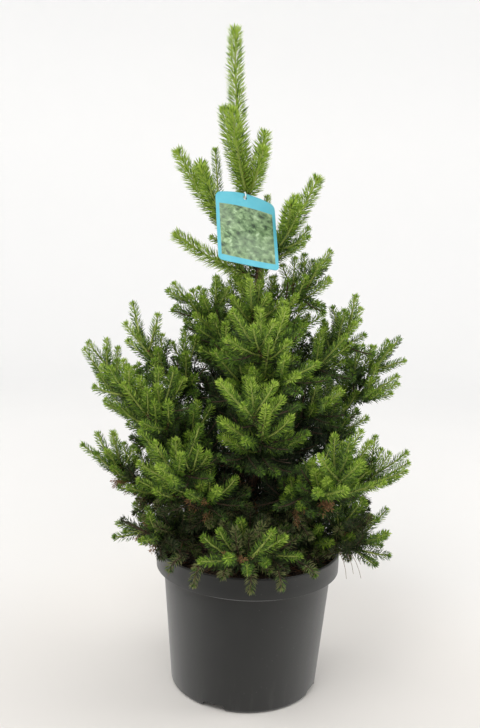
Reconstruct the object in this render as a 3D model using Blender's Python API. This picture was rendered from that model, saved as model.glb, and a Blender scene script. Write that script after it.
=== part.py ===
"""A young dwarf Norway spruce in a black nursery pot, with a plastic plant label tied to its stem.

Units are metres and +Z is up. The origin is on the pot's axis, on the flat underside that it stands on.
Azimuth 0 is +X, 90 is +Y and 270 is the side that faces the viewer.
Every limb is worked out from where it leaves the trunk and where its tip is, and every mass of
foliage grows by one seeded rule from the stem that carries on from its bough.
"""

import math
import random

import bmesh
import bpy
import numpy as np
from mathutils import Vector

GAP = 0.0003  # between two pieces that touch

# Nursery pot
POT_SIDES = 36
POT_BASE_RADIUS = 0.1005
POT_NECK_RADIUS = 0.1140
POT_NECK_HEIGHT = 0.1600
COLLAR_BOTTOM_RADIUS = 0.1245
COLLAR_BOTTOM_HEIGHT = 0.1665
RIM_RADIUS = 0.1250
RIM_HEIGHT = 0.1930
LIP_DEPTH = 0.0035
POT_WALL = 0.0022
POT_FLOOR = 0.0030
HEEL_RADIUS = 0.0050  # rounding of the bottom edge
NOTCH_COUNT = 4
NOTCH_FIRST_AZIMUTH = 248.0
NOTCH_WIDTH = 0.036
NOTCH_HEIGHT = 0.0080
NOTCH_DEPTH = 0.0160
NOTCH_ROOF = 0.0030  # plastic that is left above a notch

# Soil
SOIL_CENTRE_HEIGHT = 0.1770
SOIL_EDGE_HEIGHT = 0.1720

# Trunk: (height, x, y, radius) of its axis, from the flat cut at the soil to the foot of the leader
TRUNK_SIDES = 9
TRUNK_AXIS = (
    (0.1773, 0.000, 0.000, 0.0125),
    (0.1900, 0.000, 0.000, 0.0108),
    (0.2150, 0.001, 0.001, 0.0098),
    (0.3000, 0.003, 0.003, 0.0088),
    (0.3900, 0.002, 0.002, 0.0077),
    (0.4700, 0.000, 0.001, 0.0067),
    (0.5300, 0.000, 0.000, 0.0059),
    (0.5700, 0.002, 0.000, 0.0053),
    (0.6200, -0.008, 0.000, 0.0044),
    (0.6620, -0.018, 0.000, 0.0039),
    (0.6760, -0.020, 0.000, 0.0034),
)
FLARE_LOBES = 3
FLARE_SHARE = 0.16

# Boughs: trunk height, share of the limb that is bare bough, rise of its bend, bough radii, laterals
# of the mass, and for each bough (azimuth in degrees, reach of the foliage tip, height of the tip)
TIERS = {
    "skirt": (0.198, 0.40, 0.030, (0.0040, 0.0024), 7, (
        (344, 0.180, 0.216), (56, 0.180, 0.232), (126, 0.180, 0.224),
        (200, 0.170, 0.224), (270, 0.182, 0.226),
    )),
    "lower": (0.236, 0.30, 0.020, (0.0046, 0.0026), 8, (
        (8, 0.216, 0.322), (68, 0.212, 0.366), (128, 0.220, 0.334),
        (184, 0.226, 0.326), (238, 0.208, 0.372), (306, 0.212, 0.358),
    )),
    "middle": (0.300, 0.28, 0.014, (0.0044, 0.0025), 8, (
        (172, 0.236, 0.448), (222, 0.206, 0.432), (274, 0.200, 0.424),
        (30, 0.220, 0.466), (102, 0.208, 0.432),
    )),
    "upper": (0.376, 0.26, 0.022, (0.0038, 0.0023), 7, (
        (196, 0.172, 0.494), (276, 0.148, 0.490), (12, 0.142, 0.518), (110, 0.158, 0.510),
    )),
}

BOUGH_SIDES = 5
BOUGH_RINGS = 4

# Masses that grow straight from the trunk: (trunk height, tip, laterals)
TRUNK_MASSES = {
    "neck_mass_right": (0.478, (0.093, 0.012, 0.593), 4),
    "neck_mass_back": (0.492, (-0.030, 0.088, 0.575), 4),
    "neck_mass_front": (0.470, (-0.010, -0.076, 0.556), 4),
    "neck_mass_left": (0.450, (-0.110, 0.000, 0.544), 4),
    "heart_mass_right": (0.340, (0.110, -0.060, 0.420), 5),
    "whorl_mass_left": (0.582, (-0.112, 0.030, 0.716), 1),
    "whorl_mass_front_left": (0.564, (-0.077, -0.030, 0.692), 1),
    "whorl_mass_low_left": (0.556, (-0.107, -0.012, 0.608), 0),
    "whorl_mass_right": (0.570, (0.070, -0.014, 0.684), 1),
    "whorl_mass_back": (0.562, (0.047, 0.052, 0.662), 1),
    "top_mass_left": (0.661, (-0.052, 0.016, 0.770), 0),
    "top_mass_front": (0.660, (-0.040, -0.034, 0.762), 0),
    "top_mass_back": (0.663, (0.001, 0.022, 0.742), 0),
    "top_mass_right": (0.662, (0.000, -0.016, 0.718), 0),
}
TRUNK_MASS_THICKNESS = 0.020  # radius of the foot as a share of the mass's length
LEADER_TIP = (-0.041, 0.000, 0.869)
LEADER_RADIUS = 0.0030

# Foliage rule: a stem with laterals on both sides and above, the longer of which fork again
LATERAL_LENGTH = 0.098
LATERAL_FIRST, LATERAL_LAST = 0.08, 0.86  # shares of the stem between which laterals leave it
LATERAL_ROLLS = (78, -84, 18, -100, 96, -24, 64)  # degrees round the stem from its upper side
LATERAL_MINIMUM = 0.030
FORK_MINIMUM = 0.066  # a lateral at least this long forks
FORK_SHARE = 0.62  # length of the fork's shoot over that of its lateral
SHOOT_SPACING = 0.012  # between the lines of two shoots of a mass, past their feet
SHOOT_SIDES = 3
SHOOT_FOOT_RADIUS = 0.0018
SHOOT_RADIUS = 0.0054  # half the width of a shoot without its needles
SHOOT_SLENDERNESS = 0.06  # the same over the shoot's length, at most
SHOOT_TIP_RADIUS = 0.0016
NEEDLE_STEP = 0.0240  # length of shoot that carries one ring of needles
LEADING_NEEDLE_STEP = 0.0175  # the same on shoots that stand against the sky
NEEDLE_LENGTH = 0.0190
UNDERSIDE = 0.45  # facets that face down more steeply than this share carry no needle
NEEDLE_LEAN = 42.0  # degrees between needle and shoot
BARE_FOOT = 0.010  # length of a shoot's foot that has no needles
FIRST_SEED = 841

# Plastic label on its tie
LABEL_CENTRE = (-0.0165, -0.042, 0.6149)
LABEL_ACROSS = (59.0, 30.8, -10.6)  # direction of its lower edge
LABEL_DOWN = (5.6, -36.3, -65.0)
LABEL_WIDTH = 0.0853
LABEL_HEIGHT = 0.0932  # at its sides
LABEL_ARCH = 0.0085  # rise of its upper edge at the middle
LABEL_THICKNESS = 0.0009
LABEL_CORNER = 0.006
LABEL_HOLE_RADIUS = 0.0028
LABEL_HOLE_DROP = 0.0060  # from its upper edge to the hole's centre
TIE_RADIUS = 0.0008
TIE_TRUNK_HEIGHT = 0.6450


def clear_scene():
    for thing in list(bpy.data.objects):
        bpy.data.objects.remove(thing)


def make_material(name, colour, roughness, metallic=0.0):
    material = bpy.data.materials.new(name)
    material.use_nodes = True
    shader = material.node_tree.nodes["Principled BSDF"]
    shader.inputs["Base Color"].default_value = (*colour, 1.0)
    shader.inputs["Roughness"].default_value = roughness
    shader.inputs["Metallic"].default_value = metallic
    return material


def add_mesh(name, points, faces, material=None):
    mesh = bpy.data.meshes.new(name)
    mesh.from_pydata([tuple(map(float, p)) for p in points], [], faces)
    mesh.update()
    thing = bpy.data.objects.new(name, mesh)
    bpy.context.scene.collection.objects.link(thing)
    if material:
        mesh.materials.append(material)
    return thing


def remove(thing):
    mesh = thing.data
    bpy.data.objects.remove(thing)
    bpy.data.meshes.remove(mesh)


def apply_boolean(thing, others, operation, solver="EXACT"):
    """Joins the others to thing, or cuts them from it, as one modifier on a collection."""
    helpers = bpy.data.collections.new("helpers")
    bpy.context.scene.collection.children.link(helpers)
    for other in others:
        helpers.objects.link(other)
    modifier = thing.modifiers.new("join", "BOOLEAN")
    modifier.operation = operation
    modifier.operand_type = "COLLECTION"
    modifier.collection = helpers
    modifier.solver = solver
    graph = bpy.context.evaluated_depsgraph_get()
    made = bpy.data.meshes.new_from_object(thing.evaluated_get(graph))
    thing.modifiers.clear()
    old = thing.data
    thing.data = made
    bpy.data.meshes.remove(old)
    for other in others:
        helpers.objects.unlink(other)
    bpy.data.collections.remove(helpers)
    return thing


def keep_largest_body(thing):
    """Drops loose scraps that a Boolean leaves."""
    shape = bmesh.new()
    shape.from_mesh(thing.data)
    unseen = set(shape.verts)
    islands = []
    while unseen:
        island = set()
        queue = [unseen.pop()]
        while queue:
            point = queue.pop()
            island.add(point)
            for edge in point.link_edges:
                other = edge.other_vert(point)
                if other in unseen:
                    unseen.discard(other)
                    queue.append(other)
        islands.append(island)
    largest = max(islands, key=len)
    scraps = [v for island in islands if island is not largest for v in island]
    bmesh.ops.delete(shape, geom=scraps, context="VERTS")
    shape.to_mesh(thing.data)
    shape.free()


def unit(vector):
    return vector / np.linalg.norm(vector)


def frames_along(points):
    """A tangent and two normals at each point, which turn as little as they can."""
    tangents = np.gradient(points, axis=0)
    tangents /= np.linalg.norm(tangents, axis=1)[:, None]
    start = np.array((0.0, 0.0, 1.0)) if abs(tangents[0][2]) < 0.9 else np.array((1.0, 0.0, 0.0))
    normals = []
    normal = start
    for tangent in tangents:
        normal = unit(normal - tangent * (normal @ tangent))
        normals.append(normal)
    normals = np.array(normals)
    return tangents, normals, np.cross(tangents, normals)


def bend(start, control, tip, count):
    """Points along the quadratic curve from start to tip that leaves start towards control."""
    t = np.linspace(0.0, 1.0, count)[:, None]
    return (1 - t) ** 2 * start + 2 * t * (1 - t) * control + t**2 * tip


def resample(points, count):
    steps = np.r_[0.0, np.cumsum(np.linalg.norm(np.diff(points, axis=0), axis=1))]
    wanted = np.linspace(0.0, steps[-1], count)
    return np.array([np.interp(wanted, steps, points[:, k]) for k in range(3)]).T


def length_of(points):
    return float(np.linalg.norm(np.diff(points, axis=0), axis=1).sum())


def tube(points, radii, sides):
    """Points and faces of a closed tube with flat ends."""
    _, normals, sides_of = frames_along(points)
    corners = []
    for centre, normal, side, radius in zip(points, normals, sides_of, radii):
        for k in range(sides):
            angle = 2 * math.pi * k / sides
            corners.append(centre + radius * (math.cos(angle) * normal + math.sin(angle) * side))
    faces = [tuple(reversed(range(sides)))]
    for i in range(len(points) - 1):
        low, high = i * sides, (i + 1) * sides
        for k in range(sides):
            after = (k + 1) % sides
            faces.append((low + k, low + after, high + after, high + k))
    last = (len(points) - 1) * sides
    faces.append(tuple(range(last, last + sides)))
    return corners, faces


def lathe(name, profile, sides, material):
    """Turns a closed profile of (radius, height) points round the Z axis. It runs up the outside first."""
    corners = []
    rows = []
    for radius, height in profile:
        if radius == 0:
            rows.append([len(corners)] * sides)
            corners.append((0.0, 0.0, height))
            continue
        rows.append(list(range(len(corners), len(corners) + sides)))
        for k in range(sides):
            angle = 2 * math.pi * (k + 0.5) / sides
            corners.append((radius * math.cos(angle), radius * math.sin(angle), height))
    faces = []
    for low, high in zip(rows, rows[1:] + rows[:1]):
        for k in range(sides):
            after = (k + 1) % sides
            ring = [low[k], low[after], high[after], high[k]]
            corner_set = sorted(set(ring), key=ring.index)
            if len(corner_set) > 2:
                faces.append(tuple(corner_set))
    return add_mesh(name, corners, faces, material)


# Trunk

TRUNK_TABLE = np.array(TRUNK_AXIS)


def smooth_column(heights, column):
    """A column of the trunk's table at these heights, rounded off between its rows."""
    reach = 0.012
    return sum(
        np.interp(heights + shift, TRUNK_TABLE[:, 0], TRUNK_TABLE[:, column])
        for shift in (-reach, 0.0, reach)
    ) / 3


def trunk_axis(height):
    return np.array((
        float(smooth_column(np.array([height]), 1)[0]),
        float(smooth_column(np.array([height]), 2)[0]),
        height,
    ))


def trunk_radius(height):
    return float(np.interp(height, TRUNK_TABLE[:, 0], TRUNK_TABLE[:, 3]))


def trunk_mesh(name, grow, foot, top):
    """The trunk from foot to top, with grow added to its radius."""
    inner = [h for h in TRUNK_TABLE[1:-1, 0] if foot < h < top]
    heights = [foot, *inner, top]
    corners = []
    for height in heights:
        centre = trunk_axis(height)
        flare = FLARE_SHARE * max(0.0, 1 - (height - TRUNK_TABLE[0, 0]) / 0.035)
        for k in range(TRUNK_SIDES):
            angle = 2 * math.pi * k / TRUNK_SIDES
            radius = trunk_radius(height) * (1 + flare * math.cos(FLARE_LOBES * angle)) + grow
            corners.append(centre + radius * np.array((math.cos(angle), math.sin(angle), 0.0)))
    faces = [tuple(reversed(range(TRUNK_SIDES)))]
    for i in range(len(heights) - 1):
        low, high = i * TRUNK_SIDES, (i + 1) * TRUNK_SIDES
        for k in range(TRUNK_SIDES):
            after = (k + 1) % TRUNK_SIDES
            faces += [(low + k, low + after, high + after), (low + k, high + after, high + k)]
    last = (len(heights) - 1) * TRUNK_SIDES
    faces.append(tuple(range(last, last + TRUNK_SIDES)))
    return add_mesh(name, corners, faces)


# Spaces that the masses keep to

class Crown:
    """The limbs and stems of the whole plant, and whose space a point is in."""

    def __init__(self):
        self.stem_names = []
        self.stem_points = []
        self.limb_points = []
        self.limb_radii = []

    def add_stem(self, name, points):
        self.stem_names.append(name)
        self.stem_points.append(resample(points, 30))

    def add_limb(self, points, radii):
        count = max(4, int(length_of(points) / 0.003))
        steps = np.linspace(0, 1, len(points))
        self.limb_points.append(resample(points, count))
        self.limb_radii.append(np.interp(np.linspace(0, 1, count), steps, radii))

    def close(self):
        self.stem_owners = np.repeat(np.arange(len(self.stem_names)), 30)
        self.stem_points = np.vstack(self.stem_points)
        self.tie = tie_path()
        self.limb_points = np.vstack(self.limb_points)
        self.limb_radii = np.concatenate(self.limb_radii)

    def room(self, name, points):
        """How much nearer each point is to this mass's stem than to any other, in metres."""
        away = np.linalg.norm(points[:, None] - self.stem_points[None], axis=2)
        own = self.stem_owners == self.stem_names.index(name)
        return away[:, ~own].min(1) - away[:, own].min(1)

    def off_limbs(self, points):
        """The clear distance from each point to the nearest limb."""
        away = np.linalg.norm(points[:, None] - self.limb_points[None], axis=2)
        return (away - self.limb_radii[None]).min(1)


CROWN = Crown()


def label_frame():
    across = unit(np.array(LABEL_ACROSS))
    down = np.array(LABEL_DOWN)
    down = unit(down - across * (down @ across))
    return np.array(LABEL_CENTRE), across, down, np.cross(across, down)


def tie_path():
    """The closed line of the tie: round the back of the trunk, over the label and through its hole."""
    centre, across, down, through = label_frame()
    hole = centre - down * (LABEL_HEIGHT / 2 + LABEL_ARCH - LABEL_HOLE_DROP)
    trunk = trunk_axis(TIE_TRUNK_HEIGHT)
    away = unit((trunk - hole) * np.array((1.0, 1.0, 0.0)))
    side = np.array((-away[1], away[0], 0.0))
    radius = trunk_radius(TIE_TRUNK_HEIGHT) + GAP + TIE_RADIUS * 1.35
    line = []
    for turn in np.linspace(-105, 105, 13):
        angle = math.radians(turn)
        line.append(trunk + radius * (math.cos(angle) * away + math.sin(angle) * side))
    over = LABEL_HOLE_DROP + 2.5 * TIE_RADIUS
    loop = [
        hole + through * 0.0045 - down * 0.0005 + side * 0.0008,
        hole + through * 0.0015,
        hole - through * 0.0015,
        hole - through * 0.0026 - down * over * 0.4,
        hole - through * 0.0018 - down * over * 0.85,
        hole - down * over,
        hole + through * 0.0030 - down * over * 0.95 - side * 0.0016,
    ]
    for share in (0.35, 0.7):
        line.append(line[12] * (1 - share) + loop[0] * share)
    line += loop
    for share in (0.35, 0.7):
        line.append(loop[-1] * (1 - share) + line[0] * share)
    return np.array(line)


def off_label(points):
    """The clear distance from each point to the label or its tie, roughly."""
    centre, across, down, through = label_frame()
    middle = centre - down * LABEL_ARCH / 2
    local = np.stack([(points - middle) @ axis for axis in (across, down, through)], axis=1)
    half = np.array((LABEL_WIDTH, LABEL_HEIGHT + LABEL_ARCH, LABEL_THICKNESS)) / 2
    box = np.linalg.norm(np.maximum(np.abs(local) - half, 0.0), axis=1)
    tie = np.linalg.norm(points[:, None] - CROWN.tie[None], axis=2).min(1) - TIE_RADIUS
    return np.minimum(box, tie)


def off_pot(points):
    """The clear distance from each point to the pot and the soil, roughly."""
    radius = np.hypot(points[:, 0], points[:, 1])
    top = np.where(radius < RIM_RADIUS - 0.006, SOIL_CENTRE_HEIGHT, RIM_HEIGHT)
    return np.maximum(points[:, 2] - top, radius - RIM_RADIUS)


def fits(name, points, radius, near_limb=False):
    """True if balls of this radius at the points keep to the mass's space and clear of all else."""
    clear = radius + GAP
    if CROWN.room(name, points).min() < 2 * clear:
        return False
    if not near_limb and CROWN.off_limbs(points).min() < clear:
        return False
    return min(off_label(points).min(), off_pot(points).min()) >= clear


# Shoots with needles

def shoot_points(line, foot_radius, step):
    """A shoot's line cut into one step for each ring of needles, and its radii: a slim spindle."""
    count = max(3, round(length_of(line) / step) + 1)
    share = np.linspace(0.0, 1.0, count)
    thick = min(SHOOT_RADIUS, SHOOT_SLENDERNESS * length_of(line))
    radii = np.interp(share, (0.0, 0.3, 0.75, 1.0), (foot_radius, thick, thick, SHOOT_TIP_RADIUS))
    return resample(line, count), radii


def nearest(points, others):
    if not len(others):
        return 1e9
    return np.linalg.norm(points[:, None] - others[None], axis=2).min()


def spray(name, line, foot_radius, step, neighbours, taken, dice):
    """Points and faces of one shoot, and points of its needles.

    It is a three-sided spindle, each of whose facets is drawn out into a needle. A facet stays flat on
    the bare foot and the underside, and where its needle would leave the mass's space, come near the
    line of a neighbouring shoot, or meet one of the needles in taken.
    """
    points, radii = shoot_points(line, foot_radius, step)
    tangents, normals, sides_of = frames_along(points)
    count = len(points)
    corners = []
    for i in range(count):
        offset = math.pi / SHOOT_SIDES * (i % 2)
        for k in range(SHOOT_SIDES):
            angle = 2 * math.pi * k / SHOOT_SIDES + offset
            corners.append(
                points[i] + radii[i] * (math.cos(angle) * normals[i] + math.sin(angle) * sides_of[i])
            )
    faces = [tuple(reversed(range(SHOOT_SIDES)))]
    needles = []
    for i in range(count - 1):
        low, high = i * SHOOT_SIDES, (i + 1) * SHOOT_SIDES
        share = (i + 0.5) / (count - 1)
        needled = share * length_of(line) > BARE_FOOT
        forward = unit(points[i + 1] - points[i])
        for k in range(SHOOT_SIDES):
            after = (k + 1) % SHOOT_SIDES
            if i % 2 == 0:
                pair = (low + k, low + after, high + k), (low + after, high + after, high + k)
            else:
                pair = (low + k, low + after, high + after), (low + k, high + after, high + k)
            for face in pair:
                base = np.array([corners[c] for c in face])
                middle = base.mean(0)
                outward = middle - (points[i] + points[i + 1]) / 2
                outward = unit(outward - forward * (outward @ forward))
                lean = math.radians(NEEDLE_LEAN + dice.uniform(-6, 6) - 12 * share)
                reach = NEEDLE_LENGTH * dice.uniform(0.86, 1.08) * (1 - 0.25 * share**3)
                tip = middle + reach * (math.cos(lean) * forward + math.sin(lean) * outward)
                way = np.vstack([tip, base * 0.7 + tip * 0.3, base * 0.3 + tip * 0.7])
                apart = nearest(way, neighbours) > 1.2 * SHOOT_RADIUS and nearest(way, taken) > 0.0012
                if needled and outward[2] > -UNDERSIDE and apart and fits(name, way, 0.0002):
                    corners.append(tip)
                    top = len(corners) - 1
                    faces += [(face[0], face[1], top), (face[1], face[2], top), (face[2], face[0], top)]
                    needles += [tip, (middle + tip) / 2]
                else:
                    faces.append(face)
    corners.append(points[-1] + tangents[-1] * NEEDLE_LENGTH * 0.45)
    last = (count - 1) * SHOOT_SIDES
    for k in range(SHOOT_SIDES):
        faces.append((last + k, last + (k + 1) % SHOOT_SIDES, len(corners) - 1))
    return corners, faces, needles


def lateral_line(stem, share, roll, spread, length):
    """The line of a lateral shoot that leaves the stem at this share of it and bends upwards."""
    k = share * (len(stem) - 1)
    low = min(int(k), len(stem) - 2)
    start = stem[low] + (stem[low + 1] - stem[low]) * (k - low)
    along = unit(stem[low + 1] - stem[low])
    side = np.cross(along, (0.0, 0.0, 1.0))
    side = unit(side) if np.linalg.norm(side) > 0.15 else unit(np.cross(along, (0.0, 1.0, 0.0)))
    upper = np.cross(side, along)
    out = math.cos(spread) * along + math.sin(spread) * (math.cos(roll) * upper + math.sin(roll) * side)
    end = unit(out * 0.9 + np.array((0.0, 0.0, 0.22)) + along * 0.15)
    return bend(start, start + out * length * 0.5, start + out * length * 0.5 + end * length * 0.5, 16)


def add_lateral(name, lines, stem, share, roll, spread, length):
    """Adds the longest lateral that fits among the lines, if one does, and gives its length."""
    for cut in (1.0, 0.84, 0.7, 0.56):
        lateral = lateral_line(stem, share, roll, spread, length * cut)
        foot = lateral[0]
        others = np.vstack([line[np.linalg.norm(line - foot, axis=1) > SHOOT_SPACING] for line in lines])
        if length * cut < LATERAL_MINIMUM:
            return 0.0
        if fits(name, lateral[5:], SHOOT_RADIUS) and nearest(lateral[6:], others) > SHOOT_SPACING:
            lines.append(lateral)
            return length * cut
    return 0.0


def grow_lines(name, stem, laterals, lateral_length, dice):
    """The lines of all shoots of a mass, of which the first is its stem."""
    lines = [resample(stem, 40)]
    for k in range(laterals):
        share = LATERAL_FIRST + (LATERAL_LAST - LATERAL_FIRST) * (k + dice.uniform(0.2, 0.8)) / laterals
        roll = LATERAL_ROLLS[k % len(LATERAL_ROLLS)] + dice.uniform(-12, 12)
        spread = math.radians(dice.uniform(44, 60))
        length = lateral_length * (1 - 0.40 * share) * dice.uniform(0.90, 1.12)
        grown = add_lateral(name, lines, lines[0], share, math.radians(roll), spread, length)
        if grown > FORK_MINIMUM:
            side = math.radians(dice.choice((-1, 1)) * dice.uniform(60, 110))
            add_lateral(name, lines, lines[-1], dice.uniform(0.25, 0.4), side, spread, grown * FORK_SHARE)
    return lines


def grow_mass(name, stem, laterals, lateral_length, foot_radius, step, seed):
    """One mass of foliage: its stem with the laterals that fit, joined into one body."""
    dice = random.Random(seed)
    lines = grow_lines(name, stem, laterals, lateral_length, dice)
    made = []
    taken = np.empty((0, 3))
    for k, line in enumerate(lines):
        neighbours = np.vstack([other for other in lines if other is not line] or [np.empty((0, 3))])
        neighbours = neighbours[np.linalg.norm(neighbours - line[0], axis=1) > 0.004] if k else neighbours
        radius = SHOOT_FOOT_RADIUS if k else foot_radius
        corners, faces, needles = spray(name, line, radius, step, neighbours, taken, dice)
        taken = np.vstack([taken, *needles])
        made.append(add_mesh(name if k == 0 else f"{name}_{k}", corners, faces))
    if len(made) > 1:
        apply_boolean(made[0], made[1:], "UNION")
        for other in made[1:]:
            remove(other)
    keep_largest_body(made[0])
    return made[0]


# Pot, soil and label

def build_pot(material):
    wall = POT_WALL
    chamfer = NOTCH_DEPTH + NOTCH_ROOF
    roof = NOTCH_HEIGHT + NOTCH_ROOF
    slope = (POT_NECK_RADIUS - POT_BASE_RADIUS) / POT_NECK_HEIGHT
    heel = [
        (
            POT_BASE_RADIUS - HEEL_RADIUS * (1 - math.sin(angle)),
            HEEL_RADIUS * (1 - math.cos(angle)),
        )
        for angle in np.linspace(0, math.pi / 2, 3)
    ]
    outside = [
        *heel,
        (POT_NECK_RADIUS, POT_NECK_HEIGHT),
        (COLLAR_BOTTOM_RADIUS, COLLAR_BOTTOM_HEIGHT),
        (RIM_RADIUS, RIM_HEIGHT - LIP_DEPTH / 2),
        (RIM_RADIUS - 0.0008, RIM_HEIGHT),
    ]
    inside = [
        (RIM_RADIUS - LIP_DEPTH, RIM_HEIGHT),
        (COLLAR_BOTTOM_RADIUS - wall, COLLAR_BOTTOM_HEIGHT + wall),
        (POT_NECK_RADIUS - wall, POT_NECK_HEIGHT + wall / 2),
        (POT_BASE_RADIUS + slope * roof - wall, roof),
        (POT_BASE_RADIUS - chamfer, roof),
        (POT_BASE_RADIUS - chamfer - 0.006, POT_FLOOR),
        (0.0, POT_FLOOR),
        (0.0, 0.0),
    ]
    pot = lathe("pot", outside + inside, POT_SIDES, material)
    notches = []
    for k in range(NOTCH_COUNT):
        azimuth = math.radians(NOTCH_FIRST_AZIMUTH + 360 * k / NOTCH_COUNT)
        out = Vector((math.cos(azimuth), math.sin(azimuth), 0.0))
        side = Vector((-out.y, out.x, 0.0))
        inner, outer = POT_BASE_RADIUS - NOTCH_DEPTH, POT_BASE_RADIUS + 0.01
        half, narrow = NOTCH_WIDTH / 2, NOTCH_WIDTH / 2 - 0.004
        corners = []
        for height, reach in ((-0.002, half), (NOTCH_HEIGHT, narrow)):
            for radius, sideways in ((inner, -reach), (outer, -reach), (outer, reach), (inner, reach)):
                corners.append(out * radius + side * sideways + Vector((0.0, 0.0, height)))
        faces = [(3, 2, 1, 0), (4, 5, 6, 7)]
        faces += [(i, (i + 1) % 4, 4 + (i + 1) % 4, 4 + i) for i in range(4)]
        notches.append(add_mesh(f"notch_{k}", corners, faces))
    apply_boolean(pot, notches, "DIFFERENCE")
    for notch in notches:
        remove(notch)
    pot.data.shade_smooth()
    pot.data.set_sharp_from_angle(angle=math.radians(35))
    return pot


def build_soil(material):
    roof = NOTCH_HEIGHT + NOTCH_ROOF + GAP
    chamfer = NOTCH_DEPTH + NOTCH_ROOF
    clear = POT_WALL + GAP
    slope = (POT_NECK_RADIUS - POT_BASE_RADIUS) / POT_NECK_HEIGHT
    collar = (SOIL_EDGE_HEIGHT - COLLAR_BOTTOM_HEIGHT - POT_WALL) / (RIM_HEIGHT - COLLAR_BOTTOM_HEIGHT)
    profile = [
        (POT_BASE_RADIUS - chamfer - 0.006 - 2 * GAP, POT_FLOOR + GAP),
        (POT_BASE_RADIUS - chamfer - 2 * GAP, roof),
        (POT_BASE_RADIUS + slope * roof - clear, roof),
        (POT_NECK_RADIUS - clear, POT_NECK_HEIGHT + POT_WALL / 2),
        (COLLAR_BOTTOM_RADIUS - clear - GAP, COLLAR_BOTTOM_HEIGHT + POT_WALL + GAP),
        (COLLAR_BOTTOM_RADIUS - clear - GAP - 0.001 * collar, SOIL_EDGE_HEIGHT),
        (0.060, SOIL_CENTRE_HEIGHT),
        (0.0, SOIL_CENTRE_HEIGHT),
        (0.0, POT_FLOOR + GAP),
    ]
    return lathe("soil", profile, POT_SIDES, material)


def build_label(card_material, tie_material):
    centre, across, down, through = label_frame()
    outline = []
    half_width, half_height = LABEL_WIDTH / 2 - LABEL_CORNER, LABEL_HEIGHT / 2 - LABEL_CORNER
    for turn, (x, y) in enumerate(((1, 1), (-1, 1), (-1, -1), (1, -1))):
        for step in range(4):
            angle = math.pi / 2 * (turn + step / 3)
            outline.append((
                x * half_width + LABEL_CORNER * math.cos(angle),
                y * half_height + LABEL_CORNER * math.sin(angle),
            ))
        if turn == 2:
            outline += [(share * half_width, -LABEL_HEIGHT / 2) for share in (-0.75, -0.5, -0.25, 0, 0.25, 0.5, 0.75)]
    outline = [(x, y - LABEL_ARCH * (1 - (2 * x / LABEL_WIDTH) ** 2) * (y < 0)) for x, y in outline]
    count = len(outline)
    corners = [
        centre + across * x + down * y + through * LABEL_THICKNESS * level
        for level in (-0.5, 0.5)
        for x, y in outline
    ]
    faces = [tuple(reversed(range(count))), tuple(range(count, 2 * count))]
    faces += [(i, (i + 1) % count, count + (i + 1) % count, count + i) for i in range(count)]
    card = add_mesh("label_card", corners, faces, card_material)
    hole = centre - down * (LABEL_HEIGHT / 2 + LABEL_ARCH - LABEL_HOLE_DROP)
    punch = add_mesh("punch", *tube(
        np.array([hole - through * 0.004, hole + through * 0.004]), [LABEL_HOLE_RADIUS] * 2, 10
    ))
    apply_boolean(card, [punch], "DIFFERENCE")
    remove(punch)

    line = tie_path()
    sides = 4
    corners = []
    faces = []
    count = len(line)
    upward = np.array((0.0, 0.0, 1.0))
    for i in range(count):
        tangent = unit(line[(i + 1) % count] - line[i - 1])
        normal = unit(upward - tangent * (upward @ tangent))
        side = np.cross(tangent, normal)
        for k in range(sides):
            angle = 2 * math.pi * k / sides
            corners.append(line[i] + TIE_RADIUS * (math.cos(angle) * normal + math.sin(angle) * side))
    for i in range(count):
        low, high = i * sides, (i + 1) % count * sides
        for k in range(sides):
            after = (k + 1) % sides
            faces.append((low + k, low + after, high + after, high + k))
    add_mesh("label_tie", corners, faces, tie_material)


def limb_line(foot_height, tip, rise, foot_share=0.58):
    """The whole line of a bough with its foliage stem, from the trunk's axis to its tip."""
    foot = trunk_axis(foot_height)
    tip = np.array(tip)
    control = foot + (tip - foot) * foot_share
    control[2] = foot[2] + rise
    return bend(foot, control, tip, 60)


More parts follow.
